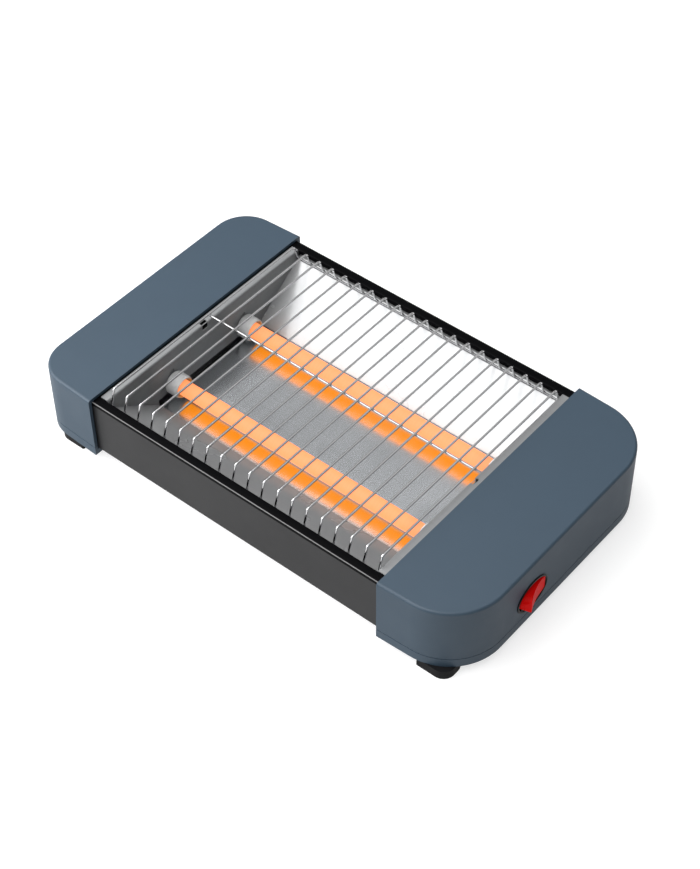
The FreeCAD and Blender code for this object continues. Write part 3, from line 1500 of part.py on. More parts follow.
keep("crumb_tray_pull", tray_pull("pull_moulding"))
for word, end in ENDS.items():
    keep(f"{word}_tray_runner", tray_runner(f"{word}_rail", end))
keep("cross_wires", cross_wires("bent_wires"))
centre_rod_z = wire_axis - size.wire_radius - size.weld_gap - size.centre_rod_radius
keep("centre_rod", rack_rod("middle_rod", size.centre_rod_offset, centre_rod_z, size.centre_rod_radius))
for word, side in SIDES.items():
    keep(f"{word}_rack_rod", rack_rod(f"{word}_rod", side * rod_half_depth, rod_axis, size.long_rod_radius))
for word, side in SIDES.items():
    keep(f"{word}_quartz_tube", quartz_tube(f"{word}_tube", side))
    keep(f"{word}_heating_coil", heating_coil(f"{word}_coil", side))
clips = []
terminals = []
for side_word, side in SIDES.items():
    for end_word, end in ENDS.items():
        name = f"{side_word}_{end_word}"
        keep(f"{name}_ceramic", ceramic_end(f"{name}_barrel", end, side))
        clips.append(retaining_clip(f"{name}_clip", end, side))
        terminals.append(terminal(f"{name}_terminal", end, side))
keep("ceramic_clips", grouped("clip_group", clips))
keep("coil_terminals", grouped("terminal_group", terminals))
keep("switch_housing", switch_housing("housing"))
keep("switch_rocker", switch_rocker("rocker"))
keep("switch_blades", switch_blades("blade"))
keep("cord_gland", cord_gland("gland"))
keep("terminal_block", terminal_block("block"))
keep("thermal_fuse", thermal_fuse("fuse"))
keep("fuse_clip", fuse_clip("fuse_saddle"))
keep("internal_leads", internal_leads("leads"))
for side_word, side in SIDES.items():
    for cap_word, cap in CAPS.items():
        keep(f"{side_word}_{cap_word}_foot", foot(f"{side_word}_{cap_word}_rubber", cap, side))
keep("cap_screws", cap_screws("cap_screw"))
keep("chassis_screws", chassis_screws("chassis_screw"))
keep("panel_screws", panel_screws("panel_screw"))
keep("leg_screws", leg_screws("leg_screw"))

document.recompute()
for item in document.Objects:
    if "Invalid" in item.State or "Error" in item.State:
        raise ValueError(f"{item.Name} ({item.Label}) failed: {item.State}")
for item in NODES:
    if item.Shape.isNull() or not item.Shape.isValid():
        raise ValueError(f"{item.Label} has no valid shape")
for item in NODES:
    item.Shape.exportStep(f"parts/{item.Label}.step")
print(len(NODES), "sub-parts written")
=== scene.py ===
import math

import bpy
import numpy as np
from mathutils import Matrix, Vector


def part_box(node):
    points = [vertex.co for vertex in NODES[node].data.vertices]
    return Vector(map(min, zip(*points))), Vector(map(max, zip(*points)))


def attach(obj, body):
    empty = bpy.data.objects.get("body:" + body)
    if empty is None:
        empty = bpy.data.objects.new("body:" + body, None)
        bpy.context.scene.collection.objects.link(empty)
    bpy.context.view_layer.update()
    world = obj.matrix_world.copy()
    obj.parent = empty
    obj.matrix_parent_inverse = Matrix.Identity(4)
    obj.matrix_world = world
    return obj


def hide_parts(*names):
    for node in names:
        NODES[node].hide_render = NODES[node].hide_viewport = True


bl_info = {
    "name": "Flat Toaster",
    "version": (1, 0, 0),
    "blender": (4, 5, 0),
    "location": "View3D > Sidebar > Toaster",
    "description": "Dresses the flat toaster's fixed frame: rack, heaters, mouldings, finishes and studio",
    "category": "Object",
}

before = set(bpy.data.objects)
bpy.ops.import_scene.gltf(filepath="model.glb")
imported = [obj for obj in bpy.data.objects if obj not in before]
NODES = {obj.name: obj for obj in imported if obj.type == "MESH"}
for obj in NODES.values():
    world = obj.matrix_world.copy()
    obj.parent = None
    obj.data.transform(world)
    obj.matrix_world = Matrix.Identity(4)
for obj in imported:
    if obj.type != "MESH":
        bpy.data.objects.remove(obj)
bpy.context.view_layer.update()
MM = 0.001


def node_box(name):
    """Lowest and highest corner of a CAD node as two arrays, in metres."""
    low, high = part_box(name)
    return np.array(low), np.array(high)


# Places read from the frame

RACK_LOW, RACK_HIGH = node_box("cross_wires")
TUBE_LOW, TUBE_HIGH = node_box("front_quartz_tube")
TUBE_HALF = float(TUBE_HIGH[0] - TUBE_LOW[0]) / 2
TUBE_MIDDLE = float(TUBE_LOW[0] + TUBE_HIGH[0]) / 2


class ToasterSizes(bpy.types.PropertyGroup):
    """Sizes of the dressed pieces."""
    wire_count: bpy.props.IntProperty(
        name="Cross Wires", description="Wires laid across the rack", default=20, min=2, max=60)
    wire_radius: bpy.props.FloatProperty(
        name="Wire Radius", description="Radius of a cross wire", default=0.85 * MM,
        subtype="DISTANCE", precision=5)
    wire_span: bpy.props.FloatProperty(
        name="Wire Span", description="Distance between the corners that a wire's two bends round off",
        default=190.8 * MM, subtype="DISTANCE", precision=5)
    front_bend: bpy.props.FloatProperty(
        name="Front Bend", description="Bend radius at a wire's front end", default=1.5 * MM,
        subtype="DISTANCE", precision=5)
    back_bend: bpy.props.FloatProperty(
        name="Back Bend", description="Bend radius at a wire's back end", default=4.6 * MM,
        subtype="DISTANCE", precision=5)
    weld_radius: bpy.props.FloatProperty(
        name="Weld Radius", description="Radius of the weld spot where a wire meets a rod",
        default=1.15 * MM, subtype="DISTANCE", precision=5)
    rim_edge: bpy.props.FloatProperty(
        name="Rim Edge", description="Rounding of the rims' long edges", default=1.1 * MM,
        subtype="DISTANCE", precision=5)
    coil_pitch: bpy.props.FloatProperty(
        name="Coil Pitch", description="Distance between two turns of a heating coil", default=3.0 * MM,
        subtype="DISTANCE", precision=5)


class ToasterColours(bpy.types.PropertyGroup):
    """Colours of the main finishes."""
    cap: bpy.props.FloatVectorProperty(
        name="End Caps", description="Moulded plastic of the end caps", subtype="COLOR", size=3,
        default=(0.030, 0.055, 0.083))
    panel: bpy.props.FloatVectorProperty(
        name="Panels", description="Coated sheet of the long sides", subtype="COLOR", size=3,
        default=(0.018, 0.018, 0.019))
    rim: bpy.props.FloatVectorProperty(
        name="Rims", description="Black coated strips along the chamber", subtype="COLOR", size=3,
        default=(0.002, 0.002, 0.0025))
    rocker: bpy.props.FloatVectorProperty(
        name="Rocker", description="Translucent red plastic of the rocker", subtype="COLOR", size=3,
        default=(0.50, 0.003, 0.003))
    glow: bpy.props.FloatVectorProperty(
        name="Heater Glow", description="Light of the heater tubes", subtype="COLOR", size=3,
        default=(1.0, 0.272, 0.088))


# Arrays into meshes

def mesh_object(name, vertices, faces, sharp_degrees=40.0):
    """A mesh object at the origin from vertices and faces, smooth but for edges sharper than the angle."""
    mesh = bpy.data.meshes.new(name)
    mesh.from_pydata(vertices.reshape(-1, 3).tolist(), [], faces)
    mesh.polygons.foreach_set("use_smooth", np.ones(len(mesh.polygons), bool))
    mesh.set_sharp_from_angle(angle=math.radians(sharp_degrees))
    mesh.update()
    piece = bpy.data.objects.new(name, mesh)
    bpy.context.scene.collection.objects.link(piece)
    return piece


def coat(piece, material):
    """Gives a piece its only material."""
    piece.data.materials.clear()
    piece.data.materials.append(material)


def dress(piece, body, slot, material, *stands_for):
    """Rides a new piece on its body, coats it and hides the nodes that it stands for; the slot is not used.
    """
    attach(piece, body)
    coat(piece, material)
    if stands_for:
        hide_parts(*stands_for)


def paint(name, material):
    """Coats a CAD node."""
    coat(NODES[name], material)


def strip_faces(rows, columns, close_rows=False):
    """Four-sided faces over a grid of points: each row closes round, and the rows do where told."""
    last_row = rows if close_rows else rows - 1
    i, j = np.meshgrid(np.arange(last_row), np.arange(columns), indexing="ij")
    i2 = (i + 1) % rows
    j2 = (j + 1) % columns
    quads = np.stack([i * columns + j, i2 * columns + j, i2 * columns + j2, i * columns + j2], -1)
    return quads.reshape(-1, 4)


def fan_faces(ring_start, columns, pole, in_order):
    """Triangles that close a ring of points to one pole, with the ring's points in order or reversed."""
    j = np.arange(columns)
    j2 = (j + 1) % columns
    centre = np.full(columns, pole)
    if in_order:
        return np.stack([ring_start + j, ring_start + j2, centre], -1)
    return np.stack([ring_start + j2, ring_start + j, centre], -1)


def tube_arrays(path, radii, side, columns):
    """A round tube with closed ends about a flat path.

    Point (i, a) = path[i] + radii[i] * (cos a * side + sin a * normal[i]), where side is square to the
    path's plane and normal is square to both side and the path's direction at i.
    """
    side = np.asarray(side, float)
    heading = np.gradient(path, axis=0)
    heading = heading / np.linalg.norm(heading, axis=1, keepdims=True)
    normal = np.cross(heading, side)
    angle = np.linspace(0, 2 * np.pi, columns, endpoint=False)
    ring = np.cos(angle)[None, :, None] * side + np.sin(angle)[None, :, None] * normal[:, None, :]
    points = path[:, None, :] + radii[:, None, None] * ring
    vertices = np.concatenate([points.reshape(-1, 3), path[:1], path[-1:]])
    count = len(path) * columns
    faces = strip_faces(len(path), columns)[:, ::-1].tolist()
    faces += fan_faces(0, columns, count, True).tolist()
    faces += fan_faces(count - columns, columns, count + 1, False).tolist()
    return vertices, faces


def rounded_ends(path, radius, steps=5, first_angle=0.12):
    """The path and radii of a tube whose two ends are half balls inside the path's length.

    At an angle from first_angle to a quarter turn, the point lies radius * (1 - cos angle) in from the
    end, and the tube's radius there is radius * sin angle.
    """
    start_step = path[1] - path[0]
    start_step = start_step / np.linalg.norm(start_step)
    end_step = path[-2] - path[-1]
    end_step = end_step / np.linalg.norm(end_step)
    angle = np.linspace(first_angle, np.pi / 2, steps)
    width = radius * np.sin(angle)
    depth = radius * (1 - np.cos(angle))
    first = path[0] + start_step * depth[:, None]
    last = (path[-1] + end_step * depth[:, None])[::-1]
    middle = path[1:-1]
    radii = np.concatenate([width, np.full(len(middle), radius), width[::-1]])
    return np.concatenate([first, middle, last]), radii


def repeated(vertices, faces, offsets):
    """Copies of one mesh moved by each offset, as one mesh."""
    many = (vertices[None] + offsets[:, None, :]).reshape(-1, 3)
    joined = []
    for index in range(len(offsets)):
        shift = index * len(vertices)
        joined += [[corner + shift for corner in face] for face in faces]
    return many, joined


def turned_arrays(profile, centre, columns):
    """A closed profile turned about an axis along X.

    Point (i, a) = centre + along[i] * (1, 0, 0) + radius[i] * (0, -cos a, -sin a), from the profile's
    rows of along and radius.
    """
    angle = np.linspace(0, 2 * np.pi, columns, endpoint=False)
    spoke = np.stack([np.zeros(columns), -np.cos(angle), -np.sin(angle)], -1)
    along = profile[:, 0, None, None] * np.array([1.0, 0.0, 0.0])
    points = centre + along + profile[:, 1, None, None] * spoke[None]
    faces = strip_faces(len(profile), columns, close_rows=True)[:, ::-1].tolist()
    return points.reshape(-1, 3), faces


def arc(centre, radius, start, end, steps):
    """Points on an arc in a plane, from one angle to another, in degrees."""
    angle = np.radians(np.linspace(start, end, steps))
    return np.stack([centre[0] + radius * np.cos(angle), centre[1] + radius * np.sin(angle)], -1)


# Shader nodes

# Sockets of the Mix node for colours, which shares their names with its sockets for numbers
MIX_FACTOR = 0
MIX_FIRST = 6
MIX_SECOND = 7
MIX_RESULT = 2

# Most of a noise texture's values lie between these
NOISE_LOW = 0.3
NOISE_HIGH = 0.7


def wire_up(tree, source, target):
    """Links one socket to another."""
    tree.links.new(source, target)


def feed(tree, term, socket):
    """Sets a socket to a plain number or colour, or links it to another node's output."""
    if isinstance(term, (int, float)):
        socket.default_value = term
    elif isinstance(term, tuple):
        socket.default_value = (*term, 1.0)
    else:
        wire_up(tree, term, socket)


def node(tree, kind, **settings):
    """A new shader node with its own settings."""
    made = tree.nodes.new(kind)
    for key, value in settings.items():
        setattr(made, key, value)
    return made


def object_place(tree):
    """The place on the object, which every pattern is laid out by."""
    return node(tree, "ShaderNodeTexCoord").outputs["Object"]


def split_axes(tree, vector):
    """The X, Y and Z outputs of a vector."""
    made = node(tree, "ShaderNodeSeparateXYZ")
    wire_up(tree, vector, made.inputs[0])
    return made.outputs["X"], made.outputs["Y"], made.outputs["Z"]


def maths(tree, operation, *terms):
    """The result of a maths node whose terms are plain numbers or other outputs."""
    made = node(tree, "ShaderNodeMath", operation=operation)
    for socket, term in zip(made.inputs, terms):
        feed(tree, term, socket)
    return made.outputs[0]


def noise(tree, place, scale, detail, roughness=0.5):
    """The value of a noise texture at a place."""
    made = node(tree, "ShaderNodeTexNoise")
    made.inputs["Detail"].default_value = detail
    made.inputs["Roughness"].default_value = roughness
    wire_up(tree, place, made.inputs["Vector"])
    wire_up(tree, scale, made.inputs["Scale"])
    return made.outputs["Fac"]


def ranged(tree, value, low, high, start=0.0, end=1.0):
    """The value carried from the range start to end over to the range low to high, and kept inside it."""
    made = node(tree, "ShaderNodeMapRange")
    made.inputs["From Min"].default_value = start
    made.inputs["From Max"].default_value = end
    made.inputs["To Min"].default_value = low
    made.inputs["To Max"].default_value = high
    wire_up(tree, value, made.inputs["Value"])
    return made.outputs["Result"]


def blend_colours(tree, factor, first, second):
    """The mix of two colours, each a plain one or another output."""
    mix = node(tree, "ShaderNodeMix", data_type="RGBA")
    wire_up(tree, factor, mix.inputs[MIX_FACTOR])
    feed(tree, first, mix.inputs[MIX_FIRST])
    feed(tree, second, mix.inputs[MIX_SECOND])
    return mix.outputs[MIX_RESULT]


def shade(colour, factor):
    """A colour made darker or lighter."""
    return tuple(min(1.0, channel * factor) for channel in colour)


# Shared effects as node groups

def new_group(name, inputs, outputs):
    """An empty node group with number sockets, from its inputs' defaults and its outputs' labels."""
    group = bpy.data.node_groups.new(name, "ShaderNodeTree")
    for label, value in inputs.items():
        socket = group.interface.new_socket(label, in_out="INPUT", socket_type="NodeSocketFloat")
        socket.default_value = value
    for label in outputs:
        group.interface.new_socket(label, in_out="OUTPUT", socket_type="NodeSocketFloat")
    return group, node(group, "NodeGroupInput").outputs, node(group, "NodeGroupOutput").inputs


def moulded_grain_group():
    """Spark-eroded grain: its height over slow waves, a mask of worn patches, and the waves as a tone."""
    group, given, result = new_group(
        "moulded_grain", {"Grain Scale": 1800.0, "Wave Scale": 30.0}, ("Height", "Smooth Mask", "Tone"))
    place = object_place(group)
    grain = noise(group, place, given["Grain Scale"], detail=3.0, roughness=0.6)
    waves = noise(group, place, given["Wave Scale"], detail=4.0)
    worn = ranged(group, waves, 0.0, 1.0, start=0.42, end=0.68)
    wave_share = 0.22
    wire_up(group, maths(group, "MULTIPLY_ADD", waves, wave_share, grain), result["Height"])
    wire_up(group, worn, result["Smooth Mask"])
    wire_up(group, waves, result["Tone"])
    return group


def rolled_sheet_group():
    """Rolling marks of sheet metal: long fine streaks along X, blotches, and their height."""
    group, given, result = new_group(
        "rolled_sheet", {"Streak Scale": 420.0, "Stretch": 0.03, "Blotch Scale": 22.0},
        ("Streak", "Blotch", "Height"))
    place = object_place(group)
    x, y, z = split_axes(group, place)
    drawn_out = node(group, "ShaderNodeCombineXYZ")
    wire_up(group, maths(group, "MULTIPLY", x, given["Stretch"]), drawn_out.inputs["X"])
    wire_up(group, y, drawn_out.inputs["Y"])
    wire_up(group, z, drawn_out.inputs["Z"])
    streak = noise(group, drawn_out.outputs[0], given["Streak Scale"], detail=2.0)
    blotch = noise(group, place, given["Blotch Scale"], detail=3.0)
    blotch_share = 0.1
    wire_up(group, streak, result["Streak"])
    wire_up(group, blotch, result["Blotch"])
    wire_up(group, maths(group, "MULTIPLY_ADD", blotch, blotch_share, streak), result["Height"])
    return group


def settled_dust_group():
    """Dust that lies on faces looking up, broken up by noise."""
    group, given, result = new_group("settled_dust", {"Amount": 0.2, "Scale": 160.0}, ("Mask",))
    facing = node(group, "ShaderNodeNewGeometry").outputs["Normal"]
    upward = split_axes(group, facing)[2]
    lying = ranged(group, upward, 0.0, 1.0, start=0.25, end=0.95)
    specks = noise(group, object_place(group), given["Scale"], detail=6.0, roughness=0.75)
    spread = ranged(group, specks, 0.0, 1.0, start=0.45, end=0.75)
    dust = maths(group, "MULTIPLY", lying, spread)
    wire_up(group, maths(group, "MULTIPLY", dust, given["Amount"]), result["Mask"])
    return group


GROUPS = {}


def effect(tree, name, **values):
    """Places a shared effect in a material with its own values, and gives its outputs."""
    makers = {
        "moulded_grain": moulded_grain_group,
        "rolled_sheet": rolled_sheet_group,
        "settled_dust": settled_dust_group,
    }
    if name not in GROUPS:
        GROUPS[name] = makers[name]()
    placed = tree.nodes.new("ShaderNodeGroup")
    placed.node_tree = GROUPS[name]
    for key, value in values.items():
        placed.inputs[key.replace("_", " ").title()].default_value = value
    return placed.outputs


# Finishes

FINISHES = {}


def blank(name, **sockets):
    """A material with only a Principled shader, whose constant sockets are set directly."""
    material = bpy.data.materials.new(name)
    material.use_nodes = True
    shader = material.node_tree.nodes["Principled BSDF"]
    for key, value in sockets.items():
        shader.inputs[key.replace("_", " ")].default_value = value
    return material, material.node_tree, shader


def lay_on(tree, shader, tone, rough):
    """Wires a finish's colour and roughness into its shader."""
    wire_up(tree, tone, shader.inputs["Base Color"])
    wire_up(tree, rough, shader.inputs["Roughness"])


def bump(tree, shader, height, strength, depth=0.2 * MM):
    """Wires a finish's relief into its shader."""
    made = node(tree, "ShaderNodeBump")
    made.inputs["Strength"].default_value = strength
    made.inputs["Distance"].default_value = depth
    wire_up(tree, height, made.inputs["Height"])
    wire_up(tree, made.outputs["Normal"], shader.inputs["Normal"])


def moulded_plastic(name, colour, roughness, relief=0.05, specular=0.5):
    """Satin moulded plastic: fine grain, a slow change of tone and patches that hands have smoothed."""
    material, tree, shader = blank(name, Specular_IOR_Level=specular)
    grain = effect(tree, "moulded_grain")
    tone = blend_colours(tree, grain["Tone"], shade(colour, 0.94), shade(colour, 1.06))
    lay_on(tree, shader, tone, ranged(tree, grain["Smooth Mask"], roughness, roughness - 0.06))
    bump(tree, shader, grain["Height"], relief)
    return material


def painted_edge_highlight(tree, tone, colour):
    """Lays a lighter colour over the tone as a painted highlight, where the piece's edge attribute says so.
    """
    mask = node(tree, "ShaderNodeAttribute", attribute_name="painted_edge_highlight")
    return blend_colours(tree, mask.outputs["Fac"], tone, colour)


def coated_sheet(name, colour, roughness, relief=0.04, specular=0.5, highlight_colour=None):
    """Stove-enamelled sheet: faint orange peel, slight changes of gloss and, where given, a painted
    highlight along an edge.
    """
    material, tree, shader = blank(name, Specular_IOR_Level=specular)
    peel = effect(tree, "moulded_grain", grain_scale=650.0, wave_scale=18.0)
    tone = blend_colours(tree, peel["Tone"], shade(colour, 0.93), shade(colour, 1.07))
    if highlight_colour:
        tone = painted_edge_highlight(tree, tone, highlight_colour)
    rough = ranged(tree, peel["Tone"], roughness - 0.05, roughness + 0.05, NOISE_LOW, NOISE_HIGH)
    lay_on(tree, shader, tone, rough)
    bump(tree, shader, peel["Height"], relief)
    return material


def rolled_metal(name, colour, roughness, relief=0.03, contrast=0.08, metallic=1.0):
    """Rolled sheet: streaks along its length and cloudy changes of gloss."""
    material, tree, shader = blank(name, Metallic=metallic)
    sheet = effect(tree, "rolled_sheet")
    tone = blend_colours(tree, sheet["Streak"], shade(colour, 1 - contrast), shade(colour, 1 + contrast))
    rough = ranged(tree, sheet["Blotch"], roughness * 0.8, roughness * 1.2, NOISE_LOW, NOISE_HIGH)
    lay_on(tree, shader, tone, rough)
    bump(tree, shader, sheet["Height"], relief, depth=0.1 * MM)
    return material


def plated_wire(name, colour, roughness):
    """Bright plating with faint drawing marks and small dull spots."""
    material, tree, shader = blank(name, Metallic=1.0)
    drawn = effect(tree, "rolled_sheet", streak_scale=500.0, stretch=0.2)
    tone = blend_colours(tree, drawn["Streak"], shade(colour, 0.94), shade(colour, 1.05))
    rough = ranged(tree, drawn["Blotch"], roughness * 0.85, roughness * 1.2, NOISE_LOW, 0.75)
    lay_on(tree, shader, tone, rough)
    return material


def near_light(tree, colour):
    """The tube's light: pale where it is looked at, deep where a mirror close by shows it, else none.

    The mirrored light is whole up to near_reach from the tube and gone at far_reach.
    """
    near_reach = 18.0 * MM
    far_reach = 30.0 * MM
    first_mirror = 1.5
    path = node(tree, "ShaderNodeLightPath").outputs
    near = ranged(tree, path["Ray Length"], 1.0, 0.0, near_reach, far_reach)
    once = maths(tree, "LESS_THAN", path["Ray Depth"], first_mirror)
    share = maths(tree, "MULTIPLY", near, once)
    mirrored = blend_colours(tree, share, (0.0, 0.0, 0.0), (colour[0], colour[1], 0.0))
    return blend_colours(tree, path["Is Camera Ray"], mirrored, colour)


def glowing_quartz(name, colour, strength):
    """Milky quartz lit from inside: stronger over each turn of the coil, and weaker towards its ends."""
    dim_from = TUBE_HALF - 34.0 * MM
    dim_to = TUBE_HALF - 8.0 * MM
    material, tree, shader = blank(
        name, Roughness=0.55, Specular_IOR_Level=0.12, Emission_Strength=strength)
    along = split_axes(tree, object_place(tree))[0]
    turn = 2 * math.pi / bpy.context.scene.toaster_sizes.coil_pitch
    wave = maths(tree, "SINE", maths(tree, "MULTIPLY", along, turn))
    from_middle = maths(tree, "ABSOLUTE", maths(tree, "ADD", along, -TUBE_MIDDLE))
    fade = ranged(tree, from_middle, 1.0, 0.72, dim_from, dim_to)
    ripple = ranged(tree, wave, 0.975, 1.0, -1.0, 1.0)
    share = maths(tree, "MULTIPLY", fade, ripple)
    glow = blend_colours(tree, share, (0.0, 0.0, 0.0), near_light(tree, colour))
    wire_up(tree, glow, shader.inputs["Emission Color"])
    cloud = effect(tree, "moulded_grain", grain_scale=420.0, wave_scale=60.0)
    tone = blend_colours(tree, cloud["Tone"], (0.060, 0.050, 0.050), (0.070, 0.060, 0.060))
    wire_up(tree, tone, shader.inputs["Base Color"])
    return material


def fired_ceramic(name, colour):
    """Unglazed steatite: chalky, with fine pits and a trace of heat staining."""
    material, tree, shader = blank(name, Specular_IOR_Level=0.35)
    pits = effect(tree, "moulded_grain", grain_scale=900.0, wave_scale=90.0)
    tone = blend_colours(tree, pits["Smooth Mask"], colour, shade(colour, 0.86))
    lay_on(tree, shader, tone, ranged(tree, pits["Tone"], 0.42, 0.62, NOISE_LOW, NOISE_HIGH))
    bump(tree, shader, pits["Height"], 0.08)
    return material


def soft_rubber(name, colour, roughness=0.62):
    """Moulded rubber: dull, with a bloom of dust on its upper faces."""
    material, tree, shader = blank(name, Specular_IOR_Level=0.2)
    skin = effect(tree, "moulded_grain", grain_scale=1200.0, wave_scale=50.0)
    dust = effect(tree, "settled_dust", amount=0.25)
    tone = blend_colours(tree, dust["Mask"], colour, shade(colour, 2.4))
    lay_on(tree, shader, tone, ranged(tree, skin["Smooth Mask"], roughness + 0.05, roughness - 0.1))
    bump(tree, shader, skin["Height"], 0.08, depth=0.3 * MM)
    return material


def translucent_red(name, colour):
    """Gloss red plastic with a soft inner light and faint moulding flow."""
    material, tree, shader = blank(
        name, Specular_IOR_Level=0.05, Emission_Color=(1.0, 0.004, 0.002, 1.0), Emission_Strength=0.14)
    flow = effect(tree, "moulded_grain", grain_scale=500.0, wave_scale=120.0)
    tone = blend_colours(tree, flow["Tone"], shade(colour, 0.85), shade(colour, 1.15))
    lay_on(tree, shader, tone, ranged(tree, flow["Tone"], 0.38, 0.46, NOISE_LOW, NOISE_HIGH))
    bump(tree, shader, flow["Height"], 0.006)
    return material


def finish(name):
    """The material of that name, made at its first use."""
    colours = bpy.context.scene.toaster_colours
    makers = {
        "cap_plastic": lambda: moulded_plastic(name, tuple(colours.cap), 0.52),
        "bulkhead_plastic": lambda: moulded_plastic(name, (0.008, 0.008, 0.01), 0.55),
        "pull_plastic": lambda: moulded_plastic(name, (0.012, 0.012, 0.014), 0.5),
        "block_plastic": lambda: moulded_plastic(name, (0.55, 0.54, 0.48), 0.45),
        "bezel_plastic": lambda: moulded_plastic(
            name, (0.004, 0.004, 0.004), 0.34, relief=0.01, specular=0.15),
        "rocker_red": lambda: translucent_red(name, tuple(colours.rocker)),
        # The rims' light grey along their rolled edges is a painted highlight.
        "rim_black": lambda: coated_sheet(
            name, tuple(colours.rim), 0.30, relief=0.01, specular=0.03, highlight_colour=(0.26, 0.26, 0.26)),
        "panel_grey": lambda: coated_sheet(name, tuple(colours.panel), 0.48, specular=0.3),
        "plate_steel": lambda: rolled_metal(
            name, (0.26, 0.265, 0.27), 0.46, relief=0.004, metallic=0.4),
        "bottom_steel": lambda: rolled_metal(name, (0.42, 0.43, 0.45), 0.42, contrast=0.14),
        "reflector_aluminium": lambda: rolled_metal(
            name, (0.47, 0.475, 0.48), 0.24, relief=0.002, contrast=0.03, metallic=0.45),
        "tray_aluminium": lambda: rolled_metal(
            name, (0.64, 0.66, 0.68), 0.20, relief=0.002, contrast=0.04),
        "spring_steel": lambda: rolled_metal(name, (0.46, 0.46, 0.48), 0.32),
        "terminal_brass": lambda: rolled_metal(name, (0.68, 0.48, 0.18), 0.3),
        "fuse_metal": lambda: rolled_metal(name, (0.66, 0.66, 0.68), 0.25),
        "screw_steel": lambda: rolled_metal(name, (0.55, 0.56, 0.58), 0.3),
        "rack_chrome": lambda: plated_wire(name, (0.82, 0.82, 0.83), 0.11),
        # The rods wear the wires' plating made darker: painted shade, deepest on the front and back rods.
        "dark_shaded_rod_plating": lambda: plated_wire(name, (0.16, 0.16, 0.165), 0.22),
        "half_shaded_rod_plating": lambda: plated_wire(name, (0.36, 0.36, 0.365), 0.22),
        "glowing_quartz": lambda: glowing_quartz(name, tuple(colours.glow), 1.6),
        "coil_wire": lambda: glowing_quartz(name, tuple(colours.glow), 3.0),
        "tube_ceramic": lambda: fired_ceramic(name, (0.60, 0.60, 0.60)),
        "gland_rubber": lambda: soft_rubber(name, (0.012, 0.012, 0.013)),
        "lead_insulation": lambda: soft_rubber(name, (0.25, 0.25, 0.25), 0.5),
        "foot_rubber": lambda: soft_rubber(name, (0.004, 0.004, 0.005)),
    }
    if name not in FINISHES:
        FINISHES[name] = makers[name]()
    return FINISHES[name]


# Operators, one for each piece or group of like pieces

class TOASTER_OT_end_caps(bpy.types.Operator):
    """Finishes the two end caps, their base covers and the black bulkheads in their mouths"""
    bl_idname = "toaster.end_caps"
    bl_label = "End Caps"

    def execute(self, context):
        for word in ("left", "right"):
            paint(f"{word}_end_cap", finish("cap_plastic"))
            paint(f"{word}_base_cover", finish("cap_plastic"))
            paint(f"{word}_bulkhead", finish("bulkhead_plastic"))
        return {"FINISHED"}


class TOASTER_OT_body_sheets(bpy.types.Operator):
    """Finishes the panels and the bottom plate, and makes the black rims with rolled edges that carry a
    painted highlight
    """
    bl_idname = "toaster.body_sheets"
    bl_label = "Panels and Rims"

    def execute(self, context):
        for word in ("front", "back"):
            paint(f"{word}_panel", finish("panel_grey"))
            self.make_rim(context.scene.toaster_sizes, word)
        paint("bottom_plate", finish("bottom_steel"))
        return {"FINISHED"}

    def rim_outline(self, edge, width, lip, lap):
        """The rim's closed section, as places inwards from the panel's face and upwards from the rim's top.

        Arcs round its two long edges. Its skirt laps over the panel from outside, and its lip hangs down
        on the chamber's side.
        """
        sheet = 0.8 * MM
        skirt = 3.0 * MM
        gap = 0.05 * MM
        inner_edge = edge * 0.8
        inner_centre = (width - inner_edge, -inner_edge)
        under = [[width - sheet, -sheet]]
        if inner_edge > sheet:
            under = arc(inner_centre, inner_edge - sheet, 0, 90, steps=5)
        return np.concatenate([
            [[-lap, -skirt]],
            arc((edge - lap, -edge), edge, 180, 90, steps=9),
            arc(inner_centre, inner_edge, 90, 0, steps=7),
            [[width, -lip], [width - sheet, -lip]],
            under,
            [[-gap, -sheet], [-gap, -skirt]],
        ])

    def make_rim(self, sizes, word):
        """The rim's outline carried straight along X, from one end of its node to the other."""
        lap = 0.35 * MM
        low, high = node_box(f"{word}_rim")
        top = float(high[2])
        edge = sizes.rim_edge
        outline = self.rim_outline(edge, float(high[1] - low[1]), float(high[2] - low[2]), lap)
        flip = 1.0 if word == "front" else -1.0
        outer = float(low[1]) if word == "front" else float(high[1])
        section = np.stack([outer + flip * outline[:, 0], top + outline[:, 1]], -1)
        if word == "back":
            section = section[::-1]
        count = len(section)
        points = np.empty((2, count, 3))
        points[:, :, 0] = [[float(low[0])], [float(high[0])]]
        points[:, :, 1:] = section[None]
        faces = strip_faces(2, count).tolist()
        faces.append(list(range(count)))
        faces.append(list(range(2 * count - 1, count - 1, -1)))
        piece = mesh_object(f"{word}_rim_strip", points, faces, sharp_degrees=50)
        self.mark_painted_highlight(piece, outer - flip * lap, top, edge)
        dress(piece, "body", "rim_black", finish("rim_black"), f"{word}_rim")

    def mark_painted_highlight(self, piece, outer, top, edge):
        """Marks the rolled edge for its painted highlight: the mark is 1 - distance / reach about the
        middle of its arc.
        """
        bulge = edge * 0.3
        reach = edge * 0.42
        places = np.empty(len(piece.data.vertices) * 3)
        piece.data.vertices.foreach_get("co", places)
        places = places.reshape(-1, 3)
        distance = np.hypot(np.abs(places[:, 1] - outer) - bulge, places[:, 2] - top + bulge)
        layer = piece.data.attributes.new("painted_edge_highlight", "FLOAT", "POINT")
        layer.data.foreach_set("value", np.clip(1 - distance / reach, 0, 1))


class TOASTER_OT_chamber(bpy.types.Operator):
    """Finishes the end plates, reflectors, crumb tray, its pull and its runners"""
    bl_idname = "toaster.chamber"
    bl_label = "Heating Chamber"

    def execute(self, context):
        for word in ("left", "right"):
            paint(f"{word}_end_plate", finish("plate_steel"))
            paint(f"{word}_tray_runner", finish("bottom_steel"))
        for word in ("front", "back"):
            paint(f"{word}_reflector", finish("reflector_aluminium"))
        paint("crumb_tray", finish("tray_aluminium"))
        paint("crumb_tray_pull", finish("pull_plastic"))
        return {"FINISHED"}


